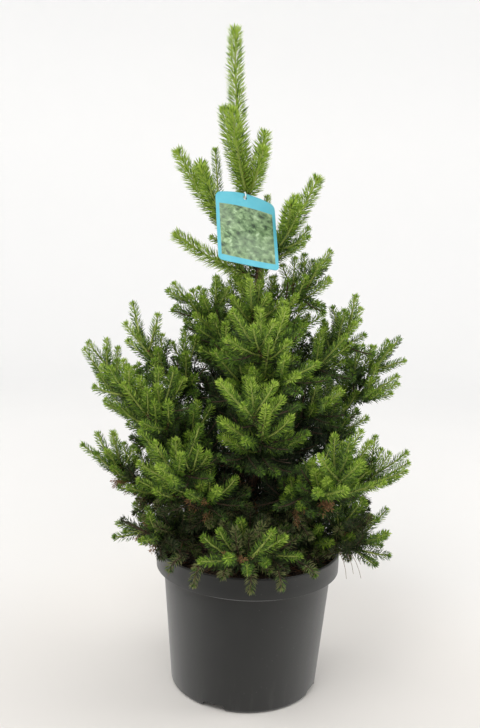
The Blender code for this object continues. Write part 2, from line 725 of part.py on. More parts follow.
def main():
    clear_scene()
    pot_plastic = make_material("pot_plastic", (0.045, 0.046, 0.044), 0.55)
    soil_peat = make_material("peat_soil", (0.045, 0.030, 0.020), 0.95)
    bark = make_material("bark", (0.150, 0.085, 0.050), 0.85)
    needles = make_material("needles", (0.130, 0.260, 0.040), 0.50)
    young_needles = make_material("young_needles", (0.220, 0.380, 0.050), 0.50)
    label_plastic = make_material("label_plastic", (0.110, 0.520, 0.720), 0.35)
    tie_plastic = make_material("tie_plastic", (0.800, 0.820, 0.820), 0.40)

    build_pot(pot_plastic)
    build_soil(soil_peat)
    build_label(label_plastic, tie_plastic)

    foot, top = TRUNK_TABLE[0, 0], TRUNK_TABLE[-1, 0]
    trunk = trunk_mesh("trunk", 0.0, foot, top)
    trunk.data.materials.append(bark)
    clearance = trunk_mesh("trunk_clearance", GAP, foot, top + GAP)
    heights = np.linspace(foot, top, 160)
    CROWN.add_limb(np.array([trunk_axis(h) for h in heights]), [trunk_radius(h) for h in heights])

    boughs = {}
    masses = []
    for tier, (foot_height, bough_share, rise, bough_radii, laterals, tips) in TIERS.items():
        for k, (azimuth, reach, tip_height) in enumerate(tips):
            angle = math.radians(azimuth)
            height = foot_height + 0.010 * (k % 3 - 1)
            tip = (reach * math.cos(angle), reach * math.sin(angle), tip_height)
            line = resample(limb_line(height, tip, rise), 61)
            cut = round(bough_share * 60)
            name = f"{tier}_{k + 1}"
            boughs[f"bough_{name}"] = (line[: cut + 1], bough_radii)
            heading = unit(line[cut + 1] - line[cut])
            stem = line[cut:].copy()
            stem[0] = stem[0] + heading * GAP
            masses.append((f"mass_{name}", stem, laterals, LATERAL_LENGTH, bough_radii[1], NEEDLE_STEP))
            CROWN.add_limb(line[: cut + 1], np.linspace(*bough_radii, cut + 1))
            CROWN.add_stem(f"mass_{name}", line[round(0.2 * 60):])
    for name, (foot_height, tip, laterals) in TRUNK_MASSES.items():
        rise = 0.24 * (tip[2] - foot_height)
        line = resample(limb_line(foot_height, tip, rise, 0.48), 61)
        foot_radius = TRUNK_MASS_THICKNESS * length_of(line)
        step = NEEDLE_STEP if laterals > 1 else LEADING_NEEDLE_STEP
        masses.append((name, line, laterals, 0.060, foot_radius, step))
        CROWN.add_stem(name, line[6:])
    base = trunk_axis(top) + np.array((0.0, 0.0, 4 * GAP))
    leader = bend(base, base + np.array((-0.020, 0.0, 0.09)), np.array(LEADER_TIP), 60)
    masses.append(("leader_mass", leader, 0, 0.0, LEADER_RADIUS, LEADING_NEEDLE_STEP))
    CROWN.add_stem("leader_mass", leader)
    CROWN.close()

    for name, (line, radii) in boughs.items():
        points = resample(line, BOUGH_RINGS)
        bough = add_mesh(name, *tube(points, np.linspace(*radii, BOUGH_RINGS), BOUGH_SIDES))
        apply_boolean(bough, [clearance], "DIFFERENCE")
        keep_largest_body(bough)
        bough.data.materials.clear()
        bough.data.materials.append(bark)
    for k, (name, *growth) in enumerate(masses):
        mass = grow_mass(name, *growth, FIRST_SEED + k)
        if name in TRUNK_MASSES:
            apply_boolean(mass, [clearance], "DIFFERENCE")
            keep_largest_body(mass)
        mass.data.materials.clear()
        mass.data.materials.append(needles if name.startswith("mass_") else young_needles)
    remove(clearance)


main()
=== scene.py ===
import random
from math import copysign, cos, hypot, pi, radians, sin, sqrt

import bpy
import numpy as np
from mathutils import Matrix, Vector, noise
from numpy import arange, array, cross, interp, linspace, stack, vstack


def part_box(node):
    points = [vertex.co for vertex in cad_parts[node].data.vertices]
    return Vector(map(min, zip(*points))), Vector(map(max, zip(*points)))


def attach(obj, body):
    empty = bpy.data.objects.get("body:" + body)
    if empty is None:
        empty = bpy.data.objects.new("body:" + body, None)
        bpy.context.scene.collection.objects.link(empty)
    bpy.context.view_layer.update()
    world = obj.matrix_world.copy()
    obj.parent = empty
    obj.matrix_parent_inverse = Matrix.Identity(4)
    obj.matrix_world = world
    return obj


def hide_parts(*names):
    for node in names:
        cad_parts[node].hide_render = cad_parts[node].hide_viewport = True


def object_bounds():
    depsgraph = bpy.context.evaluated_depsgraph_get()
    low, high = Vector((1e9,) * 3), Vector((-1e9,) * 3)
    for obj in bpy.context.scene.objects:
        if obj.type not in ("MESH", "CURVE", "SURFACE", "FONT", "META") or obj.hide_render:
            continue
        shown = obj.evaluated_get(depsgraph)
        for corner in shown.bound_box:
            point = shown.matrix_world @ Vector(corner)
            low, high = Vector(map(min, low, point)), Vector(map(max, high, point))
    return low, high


# A young dwarf spruce in its nursery pot. Metres, +Z up, the pot's axis at the origin

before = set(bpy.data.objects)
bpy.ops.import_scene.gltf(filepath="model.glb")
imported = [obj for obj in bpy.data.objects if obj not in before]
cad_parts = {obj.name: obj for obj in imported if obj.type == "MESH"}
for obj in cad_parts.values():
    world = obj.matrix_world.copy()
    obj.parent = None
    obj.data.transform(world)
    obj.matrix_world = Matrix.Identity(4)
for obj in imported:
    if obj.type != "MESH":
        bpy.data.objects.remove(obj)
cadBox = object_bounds()
bound = array(cadBox)
gap = 0.0003  # between solids
golden = 2.39996
print("frame:", len(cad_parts), "solids")


class Wire:
    # an output of a node; sums on it add Math nodes
    def __init__(self, finish, socket):
        self.finish, self.socket = finish, socket

    def math(self, operation, *values):
        return self.finish.node("Math", dict(enumerate(values)), operation=operation)

    def __add__(self, other):
        return self.math("ADD", self, other)

    def __rsub__(self, other):
        return self.math("SUBTRACT", other, self)

    def __mul__(self, other):
        return self.math("MULTIPLY", self, other)

    __radd__ = __add__

    def above(self, edge, soft):
        values = {0: self, 1: edge - soft, 2: edge + soft}
        return self.finish.node("MapRange", values, interpolation_type="SMOOTHSTEP")


class Finish:
    def __init__(self, name, constants):
        self.material = bpy.data.materials.new(name)
        self.material.use_nodes = True
        self.tree = self.material.node_tree
        self.shader = self.tree.nodes["Principled BSDF"]
        self.feed(constants)

    def feed(self, values, made=None):
        for key, value in values.items():
            socket = (made or self.shader).inputs[key]
            if isinstance(value, Wire):
                self.tree.links.new(value.socket, socket)
            else:
                socket.default_value = (*value, 1) if socket.type == "RGBA" else value

    def node(self, kind, values, out=0, **settings):
        made = self.tree.nodes.new("ShaderNode" + kind)
        for key, value in settings.items():
            if key == "stops":
                stops = made.color_ramp.elements
                while len(stops) < len(value):
                    stops.new(0.5)
                for stop, (place, colour) in zip(stops, value):
                    stop.position, stop.color = place, (*colour, 1)
            else:
                setattr(made, key, value)
        self.feed(values, made)
        return Wire(self, made.outputs[out])

    def place(self, stretch=(1, 1, 1)):
        where = self.node("TexCoord", {}, 3)
        return where if stretch == (1, 1, 1) else self.node("Mapping", {"Vector": where, "Scale": stretch})

    def cloud(self, scale, detail=3, rough=0.55, stretch=(1, 1, 1), twist=0):
        return self.node("TexNoise", {"Vector": self.place(stretch), "Scale": scale, "Detail": detail,
            "Roughness": rough, "Distortion": twist})

    def cells(self, scale, feature="F1", stretch=(1, 1, 1)):
        return self.node("TexVoronoi", {"Vector": self.place(stretch), "Scale": scale}, feature=feature)

    def blend(self, share, first, second):
        return self.node("Mix", {0: share, 6: first, 7: second}, 2, data_type="RGBA")

    def ramp(self, wire, stops):
        return self.node("ValToRGB", {0: wire}, stops=stops)

    def bump(self, height, depth, strength=1):
        self.feed({"Normal": self.node("Bump", {"Strength": strength, "Distance": depth, "Height": height})})


def plain(name, colour, roughness, specular=0.5):
    return Finish(name, {"Base Color": colour, "Roughness": roughness, "Specular IOR Level": specular}).material


def mottled(name, constants, cloud, first, second, roughness, more, above=None):
    finish = Finish(name, constants)
    wire = finish.cloud(*cloud)
    finish.feed({"Base Color": finish.blend(wire.above(*above) if above else wire, first, second),
        "Roughness": roughness + wire * more})
    return finish


def norms(vectors):
    return np.linalg.norm(vectors, axis=-1)


def unit(vectors):
    return vectors / np.maximum(norms(vectors)[..., None], 1e-12)


def up(height):
    return array((0, 0, height))


def toward(azimuth):
    # level
    return array((cos(radians(azimuth)), sin(radians(azimuth)), 0))


def bend(start, control, tip, count):
    t = linspace(0, 1, count)[:, None]
    return (1 - t) ** 2 * start + 2 * t * (1 - t) * control + t**2 * tip


def span(points):
    return float(norms(np.diff(points, axis=0)).sum())


def resample(points, count, first=0, last=1e9):
    # even steps between two lengths
    steps = np.r_[0, np.cumsum(norms(np.diff(points, axis=0)))]
    wanted = linspace(first, min(last, steps[-1]), count)
    return array([interp(wanted, steps, points[:, k]) for k in range(3)]).T


def partOf(points, first, last):
    return resample(points, 14, first, last)


def frames(points):
    ways = unit(np.gradient(points, axis=0))
    normal = array((0, 0, 1) if abs(ways[0][2]) < 0.9 else (1, 0, 0))
    normals = []
    for tangent in ways:
        normal = unit(normal - tangent * (normal @ tangent))
        normals.append(normal)
    return ways, array(normals), cross(ways, normals)


def nearest(points, others):
    return norms(points[:, None] - others[None]).min() if len(others) else 1e9


def addMesh(name, points, faces, materials, smooth=True, slots=None):
    mesh = bpy.data.meshes.new(name)
    mesh.from_pydata(np.reshape(points, (-1, 3)).tolist(), [], faces if isinstance(faces, list) else faces.tolist())
    mesh.update(calc_edges=True)
    mesh.polygons.foreach_set("use_smooth", np.full(len(mesh.polygons), smooth))
    if slots is not None:
        mesh.polygons.foreach_set("material_index", np.asarray(slots, np.int32))
    thing = bpy.data.objects.new(name, mesh)
    bpy.context.scene.collection.objects.link(thing)
    for material in materials:
        mesh.materials.append(material)
    return thing


def settle(piece, nodes, slot):
    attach(piece, "root")
    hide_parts(*nodes)
    print("  ", piece.name, len(piece.data.polygons), "faces")


def grid(rows, sides, closed=True):
    # quads between rows of points
    r, k = np.meshgrid(arange(rows - 1), arange(sides if closed else sides - 1), indexing="ij")
    after = (k + 1) % sides
    return stack([r * sides + k, r * sides + after, (r + 1) * sides + after, (r + 1) * sides + k], -1).reshape(-1, 4)


def rounds(profile, sides):
    # a row of points round the Z axis for each radius and height
    angles = [2 * pi * k / sides for k in range(sides)]
    return [(r * cos(a), r * sin(a), z) for r, z in profile for a in angles]


def ringsOn(points, normals, sideways, radii, sides):
    angles = 2 * pi * arange(sides)[:, None] / sides
    around = np.cos(angles) * normals[:, None] + np.sin(angles) * sideways[:, None]
    return points[:, None] + around * np.reshape(radii, (-1, 1, 1))


def closeRings(rings, foot, tip):
    # triangles over the rings, with a fan at each end
    rows, sides = rings.shape[:2]
    quads, k, end = grid(rows, sides), arange(sides), rows * sides
    after, last = (k + 1) % sides, end - sides
    fans = [stack([np.full(sides, end), after, k], -1), stack([np.full(sides, end + 1), last + k, last + after], -1)]
    return vstack([rings.reshape(-1, 3), foot, tip]), vstack([quads[:, [0, 1, 2]], quads[:, [0, 2, 3]], *fans])


def tube(points, radii, sides, relief=None):
    rings = ringsOn(points, *frames(points)[1:], radii, sides)
    if relief:
        rings = rings + unit(rings - points[:, None]) * array([[relief(p) for p in row] for row in rings])[..., None]
    return closeRings(rings, points[0], points[-1] + (points[-1] - points[-2]) * 0.05)


class Heap:
    # small closed meshes, joined
    def __init__(self):
        self.points, self.faces, self.count = [], [], 0

    def add(self, points, faces):
        self.points.append(points)
        self.faces.append(faces + self.count)
        self.count += len(points)

    def build(self, name, material, nodes, slot, smooth=True):
        settle(addMesh(name, vstack(self.points), vstack(self.faces), [material], smooth), nodes, slot)


# The trunk, as in the source

trunk = dict(
    # height, x, y, radius
    axis=array(((0.1773, 0, 0, 0.0125), (0.19, 0, 0, 0.0108), (0.215, 0.001, 0.001, 0.0098),
        (0.3, 0.003, 0.003, 0.0088), (0.39, 0.002, 0.002, 0.0077), (0.47, 0, 0.001, 0.0067), (0.53, 0, 0, 0.0059),
        (0.57, 0.002, 0, 0.0053), (0.62, -0.008, 0, 0.0044), (0.662, -0.018, 0, 0.0039), (0.676, -0.02, 0, 0.0034))),
    easing=0.012,
    flare=(3, 0.16, 0.035),  # lobes, share, height
    sides=30, boughSides=14, ringStep=0.0022,
    collar=(0.35, 0.009, 0.012),  # more radius, at this length, over this
    # depth and scale of bark plates, needle pegs and grain
    relief=((0.001, 210), (0.0005, 620), (0.00012, 900)), boughRelief=0.45)


def stemAt(height):
    rows, ease = trunk["axis"], trunk["easing"]
    x, y = (sum(interp(height + shift, rows[:, 0], rows[:, k]) for shift in (-ease, 0, ease)) / 3 for k in (1, 2))
    return array((x, y, height))


def stemR(height):
    return float(interp(height, trunk["axis"][:, 0], trunk["axis"][:, 3]))


# Boughs and foliage, as in the source

crown = dict(
    # trunk height, bare share, rise, radii, laterals, (azimuth, reach, tip height)
    tiers=dict(
        skirt=(0.198, 0.4, 0.03, (0.004, 0.0024), 7, (
            (344, 0.18, 0.216), (56, 0.18, 0.232), (126, 0.18, 0.224), (200, 0.17, 0.224), (270, 0.182, 0.226))),
        lower=(0.236, 0.3, 0.02, (0.0046, 0.0026), 8, (
            (8, 0.216, 0.322), (68, 0.212, 0.366), (128, 0.22, 0.334), (184, 0.226, 0.326), (238, 0.208, 0.372),
            (306, 0.212, 0.358))),
        middle=(0.3, 0.28, 0.014, (0.0044, 0.0025), 8, (
            (172, 0.236, 0.448), (222, 0.206, 0.432), (274, 0.2, 0.424), (30, 0.22, 0.466), (102, 0.208, 0.432))),
        upper=(0.376, 0.26, 0.022, (0.0038, 0.0023), 7, (
            (196, 0.172, 0.494), (276, 0.148, 0.49), (12, 0.142, 0.518), (110, 0.158, 0.51)))),
    # on the trunk: its height, tip, laterals
    trunkMasses=dict(
        neck=(("right", 0.478, (0.093, 0.012, 0.593), 4), ("back", 0.492, (-0.03, 0.088, 0.575), 4),
            ("front", 0.47, (-0.01, -0.076, 0.556), 4), ("left", 0.45, (-0.11, 0, 0.544), 4)),
        heart=(("right", 0.34, (0.11, -0.06, 0.42), 5),),
        whorl=(("left", 0.582, (-0.112, 0.03, 0.716), 1), ("front_left", 0.564, (-0.077, -0.03, 0.692), 1),
            ("low_left", 0.556, (-0.107, -0.012, 0.608), 0), ("right", 0.57, (0.07, -0.014, 0.684), 1),
            ("back", 0.562, (0.047, 0.052, 0.662), 1)),
        top=(("left", 0.661, (-0.052, 0.016, 0.77), 0), ("front", 0.66, (-0.04, -0.034, 0.762), 0),
            ("back", 0.663, (0.001, 0.022, 0.742), 0), ("right", 0.662, (0, -0.016, 0.718), 0))),
    leaderTip=(-0.041, 0, 0.869), sideLength=0.098, shortSide=0.06, shares=(0.08, 0.86),
    sideRolls=(78, -84, 18, -100, 96, -24, 64), sideLeast=0.03,
    fork=(0.066, 0.62),  # least length, share
    shootGap=0.012, shootR=0.0054, firstSeed=841, potRim=(0.125, 0.193), soilZ=0.177)

label = dict(
    centre=(-0.0165, -0.042, 0.6149), across=(59, 30.8, -10.6), down=(5.6, -36.3, -65),
    # height at its sides, rise of the upper edge at its middle, bow at its sides
    width=0.0853, height=0.0932, arch=0.0085, curl=0.0012, thickness=0.0009, corner=0.006, holeR=0.0028, holeDrop=0.006,
    bands=(0.015, 0.0046, 0.008),  # above, beside and below the picture
    tieR=0.0008, tieStemZ=0.645)
centre, across, down = (array(label[key]) for key in ("centre", "across", "down"))
across = unit(across)
down = unit(down - across * (down @ across))
through = cross(across, down)
hole = centre - down * (label["height"] / 2 + label["arch"] - label["holeDrop"])
stem = stemAt(label["tieStemZ"])
away = unit((stem - hole) * array((1, 1, 0)))
side = array((-away[1], away[0], 0))
reach = stemR(label["tieStemZ"]) + gap + label["tieR"] * 1.35
line = [stem + reach * (cos(a) * away + sin(a) * side) for a in np.radians(linspace(-105, 105, 13))]
over = label["holeDrop"] + 2.5 * label["tieR"]
# through the hole and over the edge: depth, up, sideways
loop = [hole + through * t - down * d + side * s for t, d, s in ((0.0045, 0.0005, 0.0008), (0.0015, 0, 0),
    (-0.0015, 0, 0), (-0.0026, over * 0.4, 0), (-0.0018, over * 0.85, 0), (0, over, 0), (0.003, over * 0.95, -0.0016))]
joins = [[one * (1 - share) + two * share for share in (0.35, 0.7)] for one, two in ((line[-1], loop[0]),
    (loop[-1], line[0]))]
tieLine = array([*line, *joins[0], *loop, *joins[1]])


def offLabel(points):
    local = (points - centre + down * label["arch"] / 2) @ stack((across, down, through), 1)
    half = array((label["width"], label["height"] + label["arch"], label["thickness"])) / 2
    card = norms(np.maximum(np.abs(local) - half, 0))
    return np.minimum(card, norms(points[:, None] - tieLine[None]).min(1) - label["tieR"])


def offPot(points):
    radius = np.hypot(points[:, 0], points[:, 1])
    rimR, rimZ = crown["potRim"]
    top = np.where(radius < rimR - 0.006, crown["soilZ"], rimZ)
    return np.maximum(points[:, 2] - top, radius - rimR)


masses, boughs, stems, limbs, limbR = [], {}, {}, [], []


def addLimb(points, radii):
    count = max(4, int(span(points) / 0.003))
    limbs.append(resample(points, count))
    limbR.extend(interp(linspace(0, 1, count), linspace(0, 1, len(points)), radii))


def limbLine(footZ, tip, rise, footShare=0.58):
    foot = stemAt(footZ)
    control = foot + (tip - foot) * footShare
    control[2] = foot[2] + rise
    return resample(bend(foot, control, tip, 60), 61)


def sprig(start, way, end, length, count):
    middle = start + way * length * 0.5
    return bend(start, middle, middle + end * length * 0.5, count)


def offshoot(stem, share, roll, spread, length, rise=0.22, count=16):
    k = share * (len(stem) - 1)
    low = min(int(k), len(stem) - 2)
    step = stem[low + 1] - stem[low]
    along, roll, spread = unit(step), radians(roll), radians(spread)
    side = cross(along, up(1))
    side = unit(side if norms(side) > 0.15 else cross(along, (0, 1, 0)))
    upper = cross(side, along)
    out = cos(spread) * along + sin(spread) * (cos(roll) * upper + sin(roll) * side)
    return sprig(stem[low] + step * (k - low), out, unit(out * 0.9 + up(rise) + along * 0.15), length, count)


def fits(name, points):
    # nearest to its own stem and clear of the rest
    clear = crown["shootR"] + gap
    others = vstack([stem for key, stem in stems.items() if key != name])
    own, other = (norms(points[:, None] - group[None]).min(1) for group in (stems[name], others))
    toLimbs = (norms(points[:, None] - limbs[None]) - limbR).min()
    return (other - own).min() >= 2 * clear and min(toLimbs, offLabel(points).min(), offPot(points).min()) >= clear


def addLateral(name, lines, stem, share, roll, spread, length):
    for cut in (1, 0.84, 0.7, 0.56):
        if length * cut < crown["sideLeast"]:
            return 0
        lateral = offshoot(stem, share, roll, spread, length * cut)
        others = vstack([line[norms(line - lateral[0]) > crown["shootGap"]] for line in lines])
        if fits(name, lateral[5:]) and nearest(lateral[6:], others) > crown["shootGap"]:
            lines.append(lateral)
            return length * cut
    return 0


def growLines(name, stem, laterals, sideLength, dice):
    lines = [resample(stem, 40)]
    first, last = crown["shares"]
    for k in range(laterals):
        share = first + (last - first) * (k + dice.uniform(0.2, 0.8)) / laterals
        roll = crown["sideRolls"][k % 7] + dice.uniform(-12, 12)
        spread = dice.uniform(44, 60)
        length = sideLength * (1 - 0.4 * share) * dice.uniform(0.9, 1.12)
        grown = addLateral(name, lines, lines[0], share, roll, spread, length)
        if grown > crown["fork"][0]:
            side = dice.choice((-1, 1)) * dice.uniform(60, 110)
            addLateral(name, lines, lines[-1], dice.uniform(0.25, 0.4), side, spread, grown * crown["fork"][1])
    return lines


foot, top = trunk["axis"][[0, -1], 0]
heights = linspace(foot, top, 160)
addLimb(array([*map(stemAt, heights)]), [*map(stemR, heights)])
for tier, (footZ, boughShare, rise, radii, laterals, tips) in crown["tiers"].items():
    for k, (azimuth, reach, tipZ) in enumerate(tips):
        line = limbLine(footZ + 0.01 * (k % 3 - 1), toward(azimuth) * reach + up(tipZ), rise)
        cut = round(boughShare * 60)
        name = f"{tier}_{k + 1}"
        boughs["bough_" + name] = (line[: cut + 1], radii)
        stem = line[cut:].copy()
        stem[0] += unit(line[cut + 1] - line[cut]) * gap
        masses.append(("mass_" + name, stem, laterals, crown["sideLength"], radii[1]))
        addLimb(line[: cut + 1], linspace(*radii, cut + 1))
        stems["mass_" + name] = resample(line[12:], 30)
for name, footZ, tip, laterals in ((f"{group}_mass_{side}", *row) for group, rows in crown["trunkMasses"].items()
        for side, *row in rows):
    line = limbLine(footZ, array(tip), 0.24 * (tip[2] - footZ), 0.48)
    masses.append((name, line, laterals, crown["shortSide"], 0.0022))
    stems[name] = resample(line[6:], 30)
base = stemAt(top) + up(4 * gap)
leader = bend(base, base + array((-0.02, 0, 0.09)), array(crown["leaderTip"]), 60)
masses.append(("leader_mass", leader, 0, 0, 0.003))
stems["leader_mass"] = resample(leader, 30)
limbs, limbR = vstack(limbs), array(limbR)
names = [mass[0] for mass in masses]
print("boughs:", len(boughs), "masses:", len(masses))

# Finer twigs, in fans on last year's wood

growth = dict(
    seed=5200,
    newLength=dict(mass=0.058, neck=0.056, heart=0.054, whorl=0.11, top=0.13, leader=0.2),
    leaderShort=0.0045,  # left for its needles
    # side twigs with and without fans: margin, step, its spread, length
    branchlets=(0.012, 0.019, (0.6, 1.2), (0.06, 0.088)), twigs=(0.006, 0.0125, (0.5, 1.1), (0.038, 0.056)),
    branchletOld=0.4,  # share of old wood
    twigRolls=(82, -78, 10, -96, 98, -14, 50, -50), twigSpread=(40, 58),
    fanRolls=(88, -88, 4), fanSpread=(34, 46), rise=0.85, branchletRise=0.45,
    spacing=0.0104, innerGap=0.0075, footClear=0.014,
    # to close gaps: tries, shoots in all, length, climb, turn
    # the dark fillers are real inner shoots, dealt darker ages as painted shade
    fills=(("new", 6500, 1070, (0.036, 0.056), (0, 2), 70), ("dark", 5200, 1620, (0.036, 0.06), (-0.8, 0.9), 155),
        ("low", 3000, 1790, (0.03, 0.052), (-0.7, 0.5), 100)),
    innerTwigs=(0.014, 0.013, (0.7, 1.3), (0.026, 0.05)),
    trunkTwigs=(0.215, 0.5, 0.0052, (0.04, 0.075)),  # from, to, step, length
    reachBeyond=0.006,  # past the solid's box
    insideBeyond=0.032,
    # the crown's reach at these heights
    reach=((0.2, 0.3, 0.45, 0.52, 0.6, 0.7), (0.17, 0.21, 0.21, 0.15, 0.11, 0.08)),
    # over the pot's rim: azimuth, drop
    droops=((245, 0.004), (272, 0.003), (286, 0), (231, -0.006), (259, -0.013), (303, -0.011)), dryTufts=60,
    # azimuth, reach, drop
    straws=((333, 0.15, 0.01), (336, 0.158, 0.017), (341, 0.153, 0.004), (328, 0.146, 0.013), (226, 0.148, 0.008)))
shoots, wood = [], []
taken = np.zeros((0, 3))
boxes = {name: array(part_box(name)) for name in names}
pick = random.Random(growth["seed"])
draw = pick.uniform


def grow(mass, line, age, footR, tipR, bare=0):
    global taken
    shoots.append({"mass": mass, "line": line, "age": age, "foot": footR, "tip": tipR, "bare": bare})
    taken = vstack([taken, resample(line, 7)])


def outness(tip):
    # 0 at the trunk, 1 where the crown ends
    return hypot(tip[0], tip[1]) / interp(tip[2], *growth["reach"])


def within(points, box, beyond):
    return (points.min(0) > box[0] - beyond).all() and (points.max(0) < box[1] + beyond).all()


def massBy(point):
    return min(boxes, key=lambda name: norms(np.clip(point, *boxes[name]) - point) + 0.1 * norms(boxes[name].mean(0)
        - point))


def clearOf(line, mass, spacing, limbGap=0):
    outer, tip = line[4:], line[-1]
    others = taken[norms(taken - line[0]) > growth["footClear"]]
    near = others[np.abs(others - line[5]).max(1) < 0.06]
    inside = outness(tip) < 0.82 and tip[2] < 0.52
    return (within(line, bound, -0.0045) and nearest(outer, near) > spacing and within(outer, boxes[mass],
        growth["insideBeyond" if inside else "reachBeyond"]) and offLabel(outer).min() > 0.01
        and offPot(outer).min() > 0.007 and (not limbGap or nearest(outer, limbs) > limbGap))


def ageOf(line, inner=False):
    # shoots deep in the crown turn dark or shaded and outer ones new, more of them the higher they sit: partly real
    # age, partly painted shade inside and painted light from above
    tip = line[-1]
    out = outness(tip)
    if tip[2] < 0.275 and pick.random() < (0.8 if out < 0.86 else 0.12):
        return pick.choice(("olive", "dusk"))
    if inner:
        return "dark" if out < 0.5 and tip[2] < 0.45 else "shaded"
    return "new" if out > 0.55 - 3 * max(0, tip[2] - 0.4) else "shaded"


def tryTwig(mass, stem, share, roll, spread, length, age):
    for cut in (1, 0.8, 0.64):
        line = offshoot(stem, share, roll, spread, length * cut, growth["rise"], 10)
        if clearOf(line, mass, growth["spacing"]):
            grow(mass, line, age, 0.0014, 0.0007, 0.002)
            return


def addFan(mass, line, share, length, age=None):
    age = age or ageOf(line)
    for roll in growth["fanRolls"]:
        if pick.random() < 0.85:
            tryTwig(mass, line, share, roll + draw(-16, 16), draw(*growth["fanSpread"]), length * draw(0.72, 0.92), age)


def addBranchlet(mass, stem, share, roll, spread, length):
    # older wood, a new shoot and a fan between them
    for cut in (1, 0.82):
        line = offshoot(stem, share, roll, spread, length * cut, growth["branchletRise"], 14)
        if clearOf(line, mass, growth["spacing"]):
            whole = span(line)
            old = whole * growth["branchletOld"]
            grow(mass, partOf(line, 0, old), "old", 0.0016, 0.0012, 0.002)
            age = ageOf(line)
            grow(mass, partOf(line, old, whole), age, 0.0014, 0.0007)
            addFan(mass, line, old / whole, whole - old, age)
            wood.extend((mass, p) for p in partOf(line, 0, old)[3::3])
            return


def places(first, last, step, steps, sway=14):
    # lengths along older wood, and the twigs' rolls
    at, k = first, pick.randrange(8)
    while at < last:
        yield at, growth["twigRolls"][k % 8] + draw(-sway, sway)
        at += step * draw(*steps)
        k += 1


lineSets = []
for k, (name, stem, laterals, sideLength, footR) in enumerate(masses):
    group = name.split("_")[0]
    for n, line in enumerate(growLines(name, stem, laterals, sideLength, random.Random(crown["firstSeed"] + k))):
        length = span(line)
        new = min(length, growth["newLength"][group] * draw(0.88, 1.1)) if length > 0.045 else length
        old = length - new
        radius = footR if n == 0 else 0.0019
        if old > 0.008:
            grow(name, partOf(line, 0, old), "old" if group == "mass" else "shaded", radius, 0.0013,
                0.004 if n == 0 else 0.001)
            wood.extend((name, p) for p in partOf(line, 0.004, old)[1::2])
        new = partOf(line, max(old, 0), length - (growth["leaderShort"] if group == "leader" else 0))
        grow(name, new, "leader" if group in ("top", "leader", "whorl") else ageOf(new),
            0.0014 if old > 0.008 else min(radius, 0.0022), 0.0008)
        if old > 0.01:
            lineSets.append((name, group, line, old, length))

bushy = [row for row in lineSets if row[1] in ("mass", "neck", "heart")]
for name, group, line, old, length in bushy + [row for row in lineSets if row[1] == "whorl"]:
    addFan(name, line, max(old - 0.003, 0) / length, length - old)
for key in ("branchlets", "twigs"):
    margin, step, steps, lengths = growth[key]
    for name, group, line, old, length in bushy:
        for at, roll in places(margin, old - margin, step, steps):
            share, spread, long = at / length, draw(*growth["twigSpread"]), draw(*lengths)
            if key == "branchlets":
                addBranchlet(name, line, share, roll, spread, long)
            else:
                tryTwig(name, line, share, roll, spread, long, ageOf(line[: max(2, int(len(line) * at / length))]))

first, last, step, lengths = growth["trunkTwigs"]
for k, height in enumerate(arange(first, last, step)):
    angle = k * golden + draw(-0.3, 0.3)
    way = array((cos(angle), sin(angle), draw(-0.1, 0.7)))
    start = stemAt(height) + way * (stemR(height) - 0.002)
    length = draw(*lengths)
    line = bend(start, start + way * length * 0.5, start + way * length + up(0.01), 12)
    if offPot(line[5:]).min() > 0.006 and nearest(line[5:], taken) > growth["innerGap"]:
        mass = massBy(line[-1])
        grow(mass, line, ageOf(line, True), 0.0016, 0.0008, 0.003)
        wood.extend((mass, p) for p in line[4:9])

for kind, most, upTo, lengths, climb, turn in growth["fills"]:
    tries, new, low = 0, kind == "new", kind == "low"
    sources = [w for w in wood if w[1][2] < 0.27] if low else wood
    while tries < most and len(shoots) < upTo:
        tries += 1
        mass, start = sources[pick.randrange(len(sources))]
        x, y, _ = unit(array((start[0], start[1], 0)) + 1e-6)
        a = radians(draw(-turn, turn))
        way = unit(array((x * cos(a) - y * sin(a), x * sin(a) + y * cos(a), draw(*climb))))
        line = sprig(start, way, unit(way * 0.9 + up(0.1 if low else 0.45)), draw(*lengths), 10)
        tip = line[-1]
        misplaced = (tip[2] < 0.5 and hypot(tip[0], tip[1]) < 0.07 if new else tip[2] > 0.52
            or outness(tip) > (0.86 if low else 0.8))
        if not misplaced and clearOf(line, mass, growth["spacing" if new else "innerGap"], 0.01 if new else 0.004):
            age = pick.choice(("olive", "dusk", "dusk")) if low else ageOf(line, not new)
            grow(mass, line, age, 0.0013, 0.0007, 0.003)
    print(kind, "fillers:", len(shoots))

first, step, steps, lengths = growth["innerTwigs"]
for name, (line, radii) in boughs.items():
    length = span(line)
    for at, roll in places(first, length, step, steps, 20):
        twig = offshoot(line, at / length, roll, draw(50, 75), draw(*lengths), 0.15, 10)
        dead = pick.random() < (0.5 if "skirt" in name or "lower" in name else 0.2)
        age = "dead" if dead else ageOf(twig, True)
        if offPot(twig[3:]).min() > 0.004:
            grow(name.replace("bough", "mass"), twig, age, 0.0013, 0.0007, 0.003)

skirtWood = array([p for mass, p in wood if mass.startswith("mass_skirt")])
for azimuth, drop in growth["droops"]:
    out = toward(azimuth)
    crest = out * 0.128 + up(0.2085)
    start = skirtWood[norms(skirtWood - crest).argmin()]
    grow("mass_skirt_5", bend(start, (start + crest) / 2 + up(0.012), crest, 12), "dusk", 0.0016, 0.0012, 0.002)
    end = out * 0.152 + up(0.193 - drop)
    grow("mass_skirt_5", bend(crest, crest + out * 0.022 + up(0.001), end, 12), "olive", 0.0013, 0.0008)
lowWood = [w for w in wood if w[1][2] < 0.3 and 0.1 < hypot(w[1][0], w[1][1]) < 0.17]
for k in range(growth["dryTufts"]):
    mass, start = lowWood[pick.randrange(len(lowWood))]
    for _ in range(3):
        way = unit(unit(start * (1, 1, 0)) + array([draw(-0.8, 0.8) for _ in range(3)]))
        length = draw(0.016, 0.03)
        line = bend(start, start + way * length * 0.6, start + way * length - up(0.002), 8)
        if offPot(line).min() > 0.003 and within(line, bound, -0.0045):
            grow(mass, line, "tuft", 0.0008, 0.0004, 0.004)
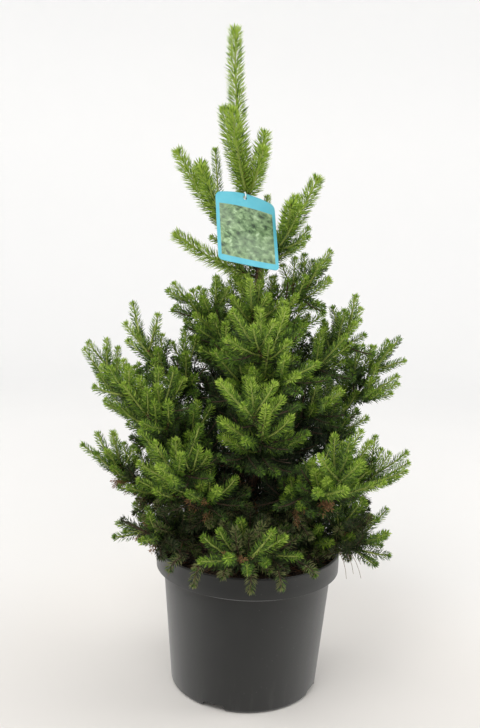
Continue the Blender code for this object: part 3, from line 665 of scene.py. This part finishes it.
for azimuth, reach, drop in growth["straws"]:
    start, end = toward(azimuth) * 0.12 + up(0.222), toward(azimuth) * reach + array((0.004, 0, 0.193 - drop))
    line = bend(start, (start + end) / 2 + array((0.01, 0, 0.016)), end, 12)
    grow(massBy(start), line, "straw", 0.00045, 0.00025)
grow("leader_mass", bend(leader[1], leader[2] + array((0, -0.004, 0.002)), leader[3] + array((-0.001, -0.009, 0.003)),
    6), "tuft", 0.0018, 0.001)
print("all shoots:", len(shoots))

# Needles: keels of four triangles

needles = dict(
    seed=77,
    ages=dict(  # per metre, length, width, lean at foot, middle and tip, tone at foot and tip, its spread
        leader=(4200, 0.0162, 0.00172, (63, 56, 45), (4.25, 5.2), 1.15),
        new=(2700, 0.0099, 0.0015, (62, 53, 38), (2.25, 4.4), 0.8),
        shaded=(2300, 0.0099, 0.00155, (62, 54, 40), (0.9, 2.6), 0.6),
        olive=(2350, 0.0105, 0.0016, (62, 52, 40), (7, 7), 0.4),
        dusk=(2050, 0.011, 0.0016, (64, 54, 42), (8, 8), 0.4),
        old=(2100, 0.0112, 0.00155, (66, 60, 50), (1, 2.1), 0.4),
        dark=(1400, 0.012, 0.00165, (66, 58, 44), (0.3, 1.3), 0.4),
        dead=(520, 0.0105, 0.0011, (68, 60, 44), (6, 6), 0.4),
        tuft=(1400, 0.0062, 0.0015, (70, 60, 30), (6, 6), 0.4),
    ),
    uncrowned=("old", "dark", "dead", "tuft"),
    crown=(15, (5, 66), (0.56, 0.68)),  # at the tip: count, lean, share of the length
    steps=16,
    # roughness and colour
    tones=(
        # the dark and deep tones come mostly from the inner ages and the painted shade dealt to each shoot
        ("dark", 0.6, (0.012, 0.022, 0.007)),
        ("deep", 0.58, (0.026, 0.048, 0.011)),
        ("green", 0.55, (0.054, 0.102, 0.017)),
        ("fresh", 0.52, (0.11, 0.205, 0.023)),
        ("bright", 0.52, (0.208, 0.332, 0.033)),
        ("lime", 0.54, (0.38, 0.51, 0.075)),
        ("dry", 0.75, (0.25, 0.135, 0.058)),
        ("olive", 0.6, (0.172, 0.18, 0.068)),
        ("dusk", 0.62, (0.056, 0.064, 0.026)),
    ),
)
dice = np.random.default_rng(needles["seed"])


def dressShoot(shoot):
    perMetre, length, width, leans, tones, speckle = needles["ages"][shoot["age"]]
    line = resample(shoot["line"], needles["steps"])
    total = span(line)
    bare = min(shoot["bare"] / total, 0.6)
    count = max(6, int((total - shoot["bare"]) * perMetre))
    at = bare + (1 - bare) * (arange(count) + dice.random(count)) / count
    lean = interp(at, (0, 0.6, 0.9, 1), (leans[0], leans[1], leans[1] - 4, leans[2])) + dice.normal(0, 5, count)
    long = length * interp(at, (0, 0.12, 0.75, 1), (0.72, 1, 0.98, 0.78)) * dice.uniform(0.86, 1.1, count)
    turn = arange(count) * golden + dice.normal(0, 0.25, count)
    if shoot["age"] not in needles["uncrowned"]:
        extra, tilts, lengths = needles["crown"]
        at = np.r_[at, 1 - dice.random(extra) * 0.03]
        lean = np.r_[lean, linspace(*tilts, extra)]
        long = np.r_[long, length * dice.uniform(*lengths, extra)]
        turn = np.r_[turn, arange(extra) * golden + 1]
        count += extra
    steps = linspace(0, 1, needles["steps"])
    centres, forward, normal, side = (stack([interp(at, steps, values[:, k]) for k in range(3)], 1) for values in (line,
        *frames(line)))
    forward = unit(forward)
    out = np.cos(turn)[:, None] * normal + np.sin(turn)[:, None] * side
    level = 1 - forward[:, 2] ** 2
    out[:, 2] += np.clip(-out[:, 2] - 0.1, 0, 1) * 0.75 * level
    out = unit(out - forward * (out * forward).sum(1)[:, None])
    lean = np.radians(lean)[:, None]
    way = np.cos(lean) * forward + np.sin(lean) * out
    root = centres + out * interp(at, (0, 1), (shoot["foot"], shoot["tip"]))[:, None] * 0.7
    tip = root + way * long[:, None]
    wide = unit(cross(way, out + forward * 0.3))
    half = (width / 2 * dice.uniform(0.9, 1.1, count))[:, None]
    middle = root + (tip - root) * 0.56 + cross(wide, way) * half * 0.9
    points = stack([root, middle + half * wide, middle - half * wide, tip], 1)
    tone = tones[0] + (tones[1] - tones[0]) * np.clip((at - 0.15) / 0.85, 0, 1) + shoot["tone"]
    tone = tone + dice.normal(0, speckle, count)
    tone = np.clip(np.round(tone), 0, 5).astype(int)
    if tones[0] >= 6:
        tone = np.full(count, tones[0])
    if tones[0] > 6:
        # one tone fresher where the shoot's dealt tone, painted shade and light included, is above zero
        other, fresher = dice.random(count), (2 if tones[0] == 7 else 1) + int(shoot["tone"] > 0)
        tone[other < 0.3] = fresher
        tone[other > 0.93] = fresher + 1
        tone[(other > 0.3) & (other < 0.42)] = 0
    return points, tone, np.full(count, names.index(shoot["mass"]))


for shoot in shoots:
    # painted shade: darker inside the crown and low down; painted light: shaded, old and dark shoots lighter at the top
    tip = shoot["line"][-1]
    shade = 2.1 * min(max(0.88 - outness(tip), 0), 0.8) + max(0, 0.33 - tip[2]) / 0.12
    under = min(1, max(0, (0.54 - tip[2]) / 0.14))
    paintedTopLight = 0.9 * (1 - under) if shoot["age"] in ("shaded", "old", "dark") else 0
    shoot["tone"] = dice.normal(0, 0.34) - shade * under + paintedTopLight
points, tones, owners = (np.concatenate(rows)
    for rows in zip(*(dressShoot(shoot) for shoot in shoots if shoot["age"] != "straw")))
ends = points[:, [0, 3]].reshape(-1, 3)
x, y, depth = ((ends - centre) @ stack((across, down, through), 1)).reshape(-1, 2, 3).transpose(2, 0, 1)
onCard = (np.abs(x) < label["width"] / 2 + 0.002) & (np.abs(y) < label["height"] / 2 + 0.009)
pierces = onCard.any(1) & (depth[:, 0] > 0) & (depth[:, 1] < 0.002)
inPot = (offPot(ends).reshape(-1, 2) < 0.0002).any(1)
inside = (points > bound[0] + gap).all((1, 2)) & (points < bound[1] - gap).all((1, 2))
kept = inside & ~pierces & ~inPot
points, tones, owners = points[kept], tones[kept], owners[kept]
print("needles:", len(points))
keel = array(((0, 2, 1), (3, 1, 2), (0, 1, 3), (0, 3, 2)))
for tone, (name, roughness, colour) in enumerate(needles["tones"]):
    mine = np.flatnonzero(tones == tone)
    faces = (arange(len(mine))[:, None, None] * 4 + keel[None]).reshape(-1, 3)
    piece = addMesh(name + "Needles", points[mine], faces, [plain(name + "Needles", colour, roughness, 0.22)], False)
    slot = "young_needles" if name in ("fresh", "bright", "lime") else "needles"
    settle(piece, sorted({names[o] for o in np.unique(owners[mine])}), slot)

# Twigs and bud scales

twigs = dict(
    pieces=dict(
        newTwigs=("greenTwigWood", (0.34, 0.4, 0.085), 0.55, "young_needles", "new"),
        oldTwigs=("brownTwigWood", (0.07, 0.044, 0.024), 0.8, "bark", "old"),
        dryStraws=("dryStraws", (0.2, 0.105, 0.045), 0.85, "bark", "old"),
        budScales=("budScales", (0.17, 0.07, 0.032), 0.5, "bark", "new"),
    ),
    ringStep=0.009, knots=0.1,
    # length, places, radius and its shares
    scales=(0.0042, (0, 0.3, 0.8, 1), 0.0023, array((0.62, 1, 0.92, 0.45))),
    bud=(0.0034, (0, 0.3, 0.7, 1), 0.0011, array((0.8, 1, 0.7, 0.15))))
heaps = {name: Heap() for name in twigs["pieces"]}
woodOwners = {"new": set(), "old": set()}


def addScales(key, start, way, setBack, share, sides):
    length, places, radius, shares = twigs[key]
    path = start + way * setBack + way * (array(places) * length)[:, None]
    heaps["budScales"].add(*tube(path, radius * share * shares, sides))


for shoot in shoots:
    line = shoot["line"]
    # shaded, dark and low shoots take the brown wood of the old ones: real older wood, and for shaded shoots a painted
    # shade
    isNew = shoot["age"] in ("leader", "new")
    count = max(4, int(span(line) / twigs["ringStep"]))
    radii = linspace(shoot["foot"], shoot["tip"], count)
    if not isNew:
        radii = radii * (1 + twigs["knots"] * np.sin(arange(count) * 2.3))
    name = "newTwigs" if isNew else "dryStraws" if shoot["age"] in ("straw", "tuft") else "oldTwigs"
    heaps[name].add(*tube(resample(line, count), radii, 6 if isNew else 5))
    woodOwners["new" if isNew else "old"].add(shoot["mass"])
    if isNew:
        addScales("scales", line[0], unit(line[1] - line[0]), 0.001, 0.8 if shoot["foot"] < 0.0015 else 1, 5)
    if shoot["age"] == "leader":
        addScales("bud", line[-1], unit(line[-1] - line[-2]), -0.0008, 1, 6)
for name, (finish, colour, roughness, slot, owner) in twigs["pieces"].items():
    heaps[name].build(name, plain(finish, colour, roughness), sorted(woodOwners[owner]), slot)
print("twigs done")

# Bark of the trunk and boughs


def barkRelief(point, amount=trunk["boughRelief"]):
    place = Vector(point)
    (plateDepth, plateScale), (pegDepth, pegScale), (grainDepth, grainScale) = trunk["relief"]
    distances, _ = noise.voronoi(Vector((place.x, place.y, place.z * 0.6)) * plateScale)
    plate = min(distances[1] - distances[0], 0.5) * 2
    pegs = max(0, noise.noise(place * pegScale))
    rough = noise.fractal(place * grainScale, 1, 2, 3)
    return amount * (plateDepth * (plate - 0.6) + pegDepth * pegs + grainDepth * rough)


bark, rings = Heap(), []
lobes, flareShare, flareHeight = trunk["flare"]
for height in [*arange(foot, top, trunk["ringStep"]), top]:
    flare = flareShare * max(0, 1 - (height - foot) / flareHeight)
    row = []
    for angle in 2 * pi * arange(trunk["sides"]) / trunk["sides"]:
        radius = stemR(height) * (1 + flare * cos(lobes * angle))
        out = array((cos(angle), sin(angle), 0))
        point = stemAt(height) + out * radius
        row.append(point + out * barkRelief(point, 0 if height == foot else min(1, radius / 0.009)))
    rings.append(row)
bark.add(*closeRings(array(rings), stemAt(foot), stemAt(top) + up(0.002)))
swelling, swellAt, swellOver = trunk["collar"]
for line, radii in boughs.values():
    length = span(line)
    count = int(length / trunk["ringStep"])
    swollen = 1 + swelling * np.exp(-((linspace(0, length, count) - swellAt) / swellOver) ** 2)
    bark.add(*tube(resample(line, count), linspace(*radii, count) * swollen, trunk["boughSides"], barkRelief))
finish = Finish("scalyBark", {"Roughness": 0.86})
plates = finish.cells(230, "DISTANCE_TO_EDGE", (1, 1, 0.6))
mottle = finish.cloud(95, 4, 0.6, (1, 1, 0.5))
flecks = finish.cloud(520, 3, 0.6)
tint = finish.ramp(mottle, ((0.28, (0.06, 0.034, 0.02)), (0.5, (0.135, 0.078, 0.044)), (0.72, (0.24, 0.165, 0.105))))
tint = finish.blend(flecks.above(0.6, 0.05), tint, (0.3, 0.15, 0.065))
tint = finish.blend(1 - plates.above(0.05, 0.05), tint, (0.03, 0.018, 0.012))
finish.feed({"Base Color": tint, "Roughness": 0.72 + mottle * 0.25})
finish.bump(plates * 0.6 + flecks * 0.5, 0.0006)
bark.build("barkLimbs", finish.material, ["trunk", *boughs], "bark")
print("bark done")

# Nursery pot

pot = dict(
    sides=180, baseR=0.1005, neck=(0.114, 0.16), collarBottom=(0.1245, 0.1665), rim=(0.125, 0.193),
    lipDepth=0.0035, wall=0.0022, floor=0.003, heelR=0.005,
    notches=(4, 248),  # count, first azimuth
    notchW=0.036, notchZ=0.008, notchIn=0.016, notchRoof=0.003, plastic=(0.0062, 0.0064, 0.0055),
    paler=(0.011, 0.0112, 0.0098), dust=(0.11, 0.107, 0.098))


def arc(centre, radius, first, last, count):
    return [(centre[0] + radius * cos(a), centre[1] + radius * sin(a))
        for a in np.radians(linspace(first, last, count))]


def cutWith(thing, cutter):
    modifier = thing.modifiers.new("cut", "BOOLEAN")
    modifier.operation, modifier.object, modifier.solver = "DIFFERENCE", cutter, "EXACT"
    made = bpy.data.meshes.new_from_object(thing.evaluated_get(bpy.context.evaluated_depsgraph_get()))
    thing.modifiers.clear()
    thing.data = made
    bpy.data.objects.remove(cutter)


baseR, heel, wall = pot["baseR"], pot["heelR"], pot["wall"]
(neckR, neckZ), (collarR, collarZ), (rimR, rimZ) = (pot[key] for key in ("neck", "collarBottom", "rim"))
innerR = baseR - pot["notchIn"] - pot["notchRoof"]
roof = pot["notchZ"] + pot["notchRoof"]
slope = (neckR - baseR) / neckZ
lip = pot["lipDepth"] / 2
profile = [
    *arc((baseR - heel, heel), heel, -90, 0, 8),
    *[(baseR + (neckR - baseR) * s, heel + (neckZ - 0.002 - heel) * s)
      for s in linspace(0.02, 1, 14)],
    (neckR + 0.0006, neckZ + 0.0002),
    (neckR + 0.005, neckZ + 0.003),
    (collarR - 0.0014, collarZ - 0.001),  # a drip edge
    (collarR - 0.0012, collarZ - 0.0015),
    *arc((collarR - 0.0004, collarZ - 0.0011), 0.0004, -60, 0, 4),
    (collarR + 0.0002, collarZ + 0.01),
    (rimR - 0.0006, rimZ - 0.0052),
    *arc((rimR - lip, rimZ - lip), lip, -10, 180, 12),
    (collarR - wall, collarZ + wall + 0.004),
    (collarR - wall - 0.0006, collarZ + wall),
    (neckR - wall, neckZ + wall / 2),
    (baseR + slope * roof - wall, roof),
    (innerR, roof),
    (innerR - 0.006, pot["floor"]),
]
finish = Finish("mouldedPlastic", {"Specular IOR Level": 0.2, "Sheen Weight": 0.35, "Sheen Roughness": 0.55})
broad = finish.cloud(9, 3, 0.6, (1, 1, 0.45))
streaks = finish.cloud(60, 4, 0.65, (1, 1, 0.12))
grain = finish.cloud(1500, 2, 0.5)
specks = finish.cells(150)
height = finish.node("SeparateXYZ", {0: finish.place()}, 2)
colour = finish.blend(broad.above(0.5, 0.22), pot["plastic"], pot["paler"])
colour = finish.blend(streaks.above(0.62, 0.16) * 0.35, colour, pot["paler"])
dusty = streaks.above(0.58, 0.1) * (1 - height.above(0.03, 0.03)) * 0.15
spots = (1 - specks.above(0.075, 0.03)) * broad.above(0.5, 0.06) * 0.5
for share in (dusty, spots):
    colour = finish.blend(share, colour, pot["dust"])
finish.feed({"Base Color": colour, "Roughness": 0.38 + streaks * 0.14 + grain * 0.06})
finish.bump(grain + streaks * 0.5, 0.00012, 0.6)
shell = np.reshape(rounds(profile, pot["sides"]), (-1, pot["sides"], 3))
piece = addMesh("nurseryPot", *closeRings(shell, up(0), up(pot["floor"])), [finish.material])
count, first = pot["notches"]
wide, narrow = pot["notchW"] / 2, pot["notchW"] / 2 - 0.004
low, high = baseR - pot["notchIn"], baseR + 0.01
for k in range(count):
    out = toward(first + 360 * k / count)
    side = cross(up(1), out)
    corners = [out * radius + side * spread * way + up(level) for level, spread in ((-0.002, wide + 0.001), (0, wide),
        (pot["notchZ"] * 0.75, narrow + 0.001), (pot["notchZ"], narrow - 0.0015)) for radius,
        way in ((low, -1), (high, -1), (high, 1), (low, 1))]
    cutWith(piece, addMesh("notchTool", corners, [(3, 2, 1, 0), (12, 13, 14, 15), *grid(4, 4).tolist()], []))
piece.data.shade_smooth()
piece.data.set_sharp_from_angle(angle=radians(38))
settle(piece, ["pot"], "pot_plastic")
print("pot done")

# Potting soil, chips and fallen needles

soil = dict(
    seed=31, sides=150, rows=46, edgeZ=0.172,
    flat=(0.06, 0.177),  # radius and height of its level middle
    relief=(0.0016, 0.0012), chips=1100, chipLength=(0.002, 0.0065), litter=320,
    peat=((0.3, (0.016, 0.01, 0.007)), (0.55, (0.045, 0.029, 0.019)), (0.75, (0.095, 0.062, 0.038))))
clear, sides = wall + gap, soil["sides"]
soilR = collarR - clear - gap - 0.001 * ((soil["edgeZ"] - collarZ - wall) / (rimZ - collarZ))


def soilPoint(x, y):
    radius = hypot(x, y)
    flatR, flatZ = soil["flat"]
    level = float(interp(radius, (0, flatR, soilR), (flatZ, flatZ, soil["edgeZ"])))
    place = Vector((x, y, 0))
    clods, waves = soil["relief"]
    bumpy = noise.fractal(place * 110, 0.8, 2.1, 4) * clods + noise.noise(place * 30) * waves
    return x, y, level + bumpy * min(1, max(0, (soilR - radius) / 0.004))


profile = [(innerR - 0.006 - 2 * gap, pot["floor"] + gap), (innerR - 2 * gap, roof + gap),
    (baseR + slope * (roof + gap) - clear, roof + gap), (neckR - clear, neckZ + wall / 2),
    (collarR - clear - gap, collarZ + wall + gap)]
surface = rounds([(radius, 0) for radius in linspace(soilR, 0.0015, soil["rows"])], sides)
corners = rounds(profile, sides) + [soilPoint(x, y) for x, y, _ in surface]
faces = grid(len(profile) + soil["rows"], sides).tolist()
faces += [list(range(sides))[::-1], list(range(len(corners) - sides, len(corners)))]
finish = Finish("peatMix", {"Specular IOR Level": 0.25})
crumbs = finish.cells(420)
clods = finish.cloud(140, 5, 0.7)
fibres = finish.cloud(700, 3, 0.7, (1, 0.25, 1), 1.2)
peat = finish.blend(fibres.above(0.64, 0.05) * 0.7, finish.ramp(clods, soil["peat"]), (0.17, 0.105, 0.055))
finish.feed({"Base Color": peat, "Roughness": 0.85 + clods * 0.12})
finish.bump(crumbs * 0.8 + clods, 0.0012)
settle(addMesh("pottingSoil", corners, faces, [finish.material]), ["soil"], "peat_soil")
dice = random.Random(soil["seed"])
chips, litter = Heap(), Heap()
cube = array([(x, y, z) for x in (-1, 1) for y in (-1, 1) for z in (-1, 1)], float)
cubeFaces = array(((0, 1, 3), (0, 3, 2), (4, 6, 7), (4, 7, 5), (0, 4, 5), (0, 5, 1), (2, 3, 7), (2, 7, 6), (0, 2, 6),
    (0, 6, 4), (1, 5, 7), (1, 7, 3)))
for k in range(soil["chips"] + soil["litter"]):
    radius, angle = (soilR - 0.006) * sqrt(dice.random()), dice.uniform(0, 2 * pi)
    if radius < 0.017:
        continue
    place = array(soilPoint(radius * cos(angle), radius * sin(angle)))
    turn = array(Matrix.Rotation(dice.uniform(0, 6.3), 3, "Z") @ Matrix.Rotation(dice.uniform(-0.4, 0.4), 3, "Y")).T
    if k < soil["chips"]:
        long = dice.uniform(*soil["chipLength"]) / 2
        size = array((long, long * dice.uniform(0.3, 0.8), long * dice.uniform(0.15, 0.4)))
        shape = cube * size * array([[dice.uniform(0.6, 1.1) for _ in range(3)] for _ in range(8)])
        chips.add(shape @ turn + place + up(size[2] * 0.4), cubeFaces)
    else:
        path = array([(-0.0055, 0, 0), (-0.001, 0, 0.0004), (0.0055, 0, 0)]) @ turn
        litter.add(*tube(path + place + up(0.0012), (0.00025, 0.0005, 0.0001), 4))
chips.build("soilChips", plain("soilChips", (0.085, 0.052, 0.03), 0.88), ["soil"], "peat_soil", smooth=False)
litter.build("fallenNeedles", plain("fallenNeedles", (0.23, 0.11, 0.045), 0.75), ["soil"], "needles")
print("soil done")

# Plant label and its tie

halfW, halfH = label["width"] / 2, label["height"] / 2
topBand, sideBand, lowBand = label["bands"]


def cardPoint(u, v, level):
    corner = label["corner"]
    x, y = u * halfW, v * halfH
    dx, dy = abs(x) - (halfW - corner), abs(y) - (halfH - corner)
    away = hypot(dx, dy)
    if dx > 0 and dy > 0 and away > corner:
        x = copysign(halfW - corner + dx * corner / away, x)
        y = copysign(halfH - corner + dy * corner / away, y)
    bow = (x / halfW) ** 2
    return x, y + label["arch"] * (1 - bow) * max(v, 0) ** 2, level + label["curl"] * bow


def gridLines(*marks):
    corner = [s * m for m in (0.995, 0.985, 0.965, 0.94, 0.91) for s in (-1, 1)]
    return sorted({round(v, 5) for v in (*linspace(-1, 1, 25), *corner, *marks)})


printW, printTop, printLow = 1 - sideBand / halfW, 1 - topBand / halfH, lowBand / halfH - 1
us, vs = gridLines(-printW, printW), gridLines(printTop, printLow)
corners = [cardPoint(u, v, s * label["thickness"] / 2) for s in (-1, 1) for v in vs for u in us]
width, rows = len(us), len(vs)
layer = width * rows
back = grid(rows, width, closed=False)
numbers = arange(layer).reshape(rows, width)
edge = np.r_[numbers[0], numbers[1:, -1], numbers[-1, -2::-1], numbers[-2:0:-1, 0]]
after = np.roll(edge, -1)
faces = vstack([back + layer, back[:, ::-1], stack([edge, after, after + layer, edge + layer], -1)])
midV, midU = np.meshgrid(np.add(vs[1:], vs[:-1]) / 2, np.add(us[1:], us[:-1]) / 2, indexing="ij")
picture = (np.abs(midU) < printW) & (midV < printTop) & (midV > printLow)
slots = np.zeros(len(faces), int)
slots[: len(back)] = picture.ravel()
slots[len(back): 2 * len(back)] = 2

border = mottled("labelBorder", {"Coat Weight": 0.25, "Coat Roughness": 0.2}, (45, 3, 0.6), (0.098, 0.462, 0.58),
    (0.132, 0.515, 0.625), 0.34, 0.14, (0.5, 0.25))
border.bump(border.cloud(400, 2), 0.00004, 0.5)
printed = Finish("labelPicture", {"Coat Weight": 0.3, "Coat Roughness": 0.22})
leafy = printed.cloud(105, 5, 0.6, (1, 1.3, 1), 0.4)
sprays = printed.cells(120, "SMOOTH_F1", (1, 1.3, 1))
haze = printed.cloud(22, 2, 0.5)
greens = printed.ramp(leafy, ((0.36, (0.026, 0.048, 0.026)), (0.45, (0.1, 0.18, 0.078)), (0.56, (0.245, 0.375, 0.182)),
    (0.68, (0.53, 0.69, 0.43))))
greens = printed.blend((1 - sprays.above(0.3, 0.2)) * 0.5, greens, (0.31, 0.455, 0.225))
greens = printed.blend(haze.above(0.52, 0.12) * 0.35, greens, (0.26, 0.33, 0.24))
printed.feed({"Base Color": greens, "Roughness": 0.36 + haze * 0.1})
reverse = mottled("labelBack", {"Coat Weight": 0.15, "Coat Roughness": 0.25}, (60, 3), (0.64, 0.74, 0.78),
    (0.7, 0.78, 0.81), 0.42, 0.12, (0.5, 0.3))
card = addMesh("plantLabel", corners, faces, [f.material for f in (border, printed, reverse)], True, slots)
hole = array((0, halfH + label["arch"] - label["holeDrop"], 0))
cutWith(card, addMesh("holeTool", *tube(array((hole - up(0.004), hole + up(0.006))), (label["holeR"],) * 2, 28), []))
card.data.set_sharp_from_angle(angle=radians(40))
card.matrix_world = Matrix([*zip(across, -down, -through, centre), (0, 0, 0, 1)])
settle(card, ["label_card"], "label_plastic")

a, b, c, d = (np.roll(tieLine, -n, 0) for n in (-1, 0, 1, 2))
eased = stack([0.5 * (2 * b + (c - a) * t + (2 * a - 5 * b + 4 * c - d) * t**2 + (3 * b - a - 3 * c + d) * t**3)
    for t in (0, 0.25, 0.5, 0.75)], 1).reshape(-1, 3)
ways = unit(np.roll(eased, -1, 0) - np.roll(eased, 1, 0))
normals = unit(up(1) - ways * ways[:, 2:3])
rings = ringsOn(eased, normals, cross(ways, normals), label["tieR"], 10)
quads = grid(len(eased) + 1, 10) % (len(eased) * 10)
finish = mottled("tiePlastic", {"Specular IOR Level": 0.5}, (300, 2), (0.72, 0.76, 0.76), (0.82, 0.85, 0.85),
    0.34, 0.12)
settle(addMesh("labelTie", rings, quads, [finish.material]), ["label_tie"], "tie_plastic")
print("label done")

# Studio: a pale bowl, soft light and the photograph's camera

studio = dict(
    sides=96, floorR=2.6, fillet=1.1, wallTop=3.4, pale=(0.74, 0.71, 0.675),
    # the backdrop's own light, by distance over 4 m
    glow=((0.03, (0, 0, 0)), (0.083, (0.01, 0.012, 0.015)), (0.134, (0.02, 0.035, 0.05)), (0.2, (0.04, 0.06, 0.08)),
        (0.42, (0.15, 0.17, 0.19)), (0.87, (0.265, 0.287, 0.312)), (1, (0.285, 0.308, 0.333))),
    world=0.44,
    # place, size, watts
    lamps=(((-0.7, -1.5, 2.6), 1.5, 35), ((-1.9, 0.3, 1.2), 1.3, 11), ((1.9, 0.1, 1.3), 1.3, 17),
        ((0.3, 1.2, 2.8), 2, 14)),
    aim=(0, 0, 0.4),
    focal=850 / 728,  # over the frame's height
    pitch=0.1491, roll=0.036, yaw=0.0178, place=(0, -1.1186, 0.6094))
floorR, fillet, sides = studio["floorR"], studio["fillet"], studio["sides"]
profile = [(0.002, -0.0002), *[(r, -0.0002) for r in linspace(0.3, floorR, 8)],
    *[(floorR + fillet * sin(a), fillet * (1 - cos(a)) - 0.0002) for a in linspace(0.1, pi / 2, 14)],
    (floorR + fillet, studio["wallTop"])]
faces = [*grid(len(profile), sides).tolist(), list(range(sides))[::-1]]
finish = mottled("paleFloor", {"Specular IOR Level": 0.25, "Emission Strength": 1}, (3.5, 3), studio["pale"],
    tuple(c * 0.985 for c in studio["pale"]), 0.7, 0.1)
away = finish.node("VectorMath", {0: finish.place()}, 1, operation="LENGTH") * 0.25
finish.feed({"Emission Color": finish.ramp(away, studio["glow"])})
addMesh("studioFloor", rounds(profile, sides), faces, [finish.material])

scene = bpy.context.scene
scene.world = bpy.data.worlds.new("studioWorld")
scene.world.use_nodes = True
sky = scene.world.node_tree.nodes["Background"].inputs
sky["Color"].default_value, sky["Strength"].default_value = (1, 1, 1, 1), studio["world"]
for k, (place, size, watts) in enumerate(studio["lamps"]):
    lamp = bpy.data.lights.new(f"softbox{k + 1}", "AREA")
    lamp.shape, lamp.size, lamp.energy = "DISK", size, watts
    holder = bpy.data.objects.new(lamp.name, lamp)
    holder.location = place
    holder.rotation_euler = (Vector(studio["aim"]) - Vector(place)).to_track_quat("-Z", "Y").to_euler()
    scene.collection.objects.link(holder)
scene.view_settings.view_transform = "Standard"

lens = bpy.data.cameras.new("photoCamera")
lens.sensor_width, lens.sensor_fit = 36, "AUTO"
lens.lens = studio["focal"] * lens.sensor_width
lens.clip_start, lens.clip_end = 0.05, 30
camera = bpy.data.objects.new("photoCamera", lens)
camera.matrix_world = (Matrix.Translation(studio["place"]) @ Matrix.Rotation(studio["yaw"], 4, "Z")
    @ Matrix.Rotation(pi / 2 - studio["pitch"], 4, "X") @ Matrix.Rotation(studio["roll"], 4, "Z"))
scene.collection.objects.link(camera)
scene.camera = camera
print("studio done")
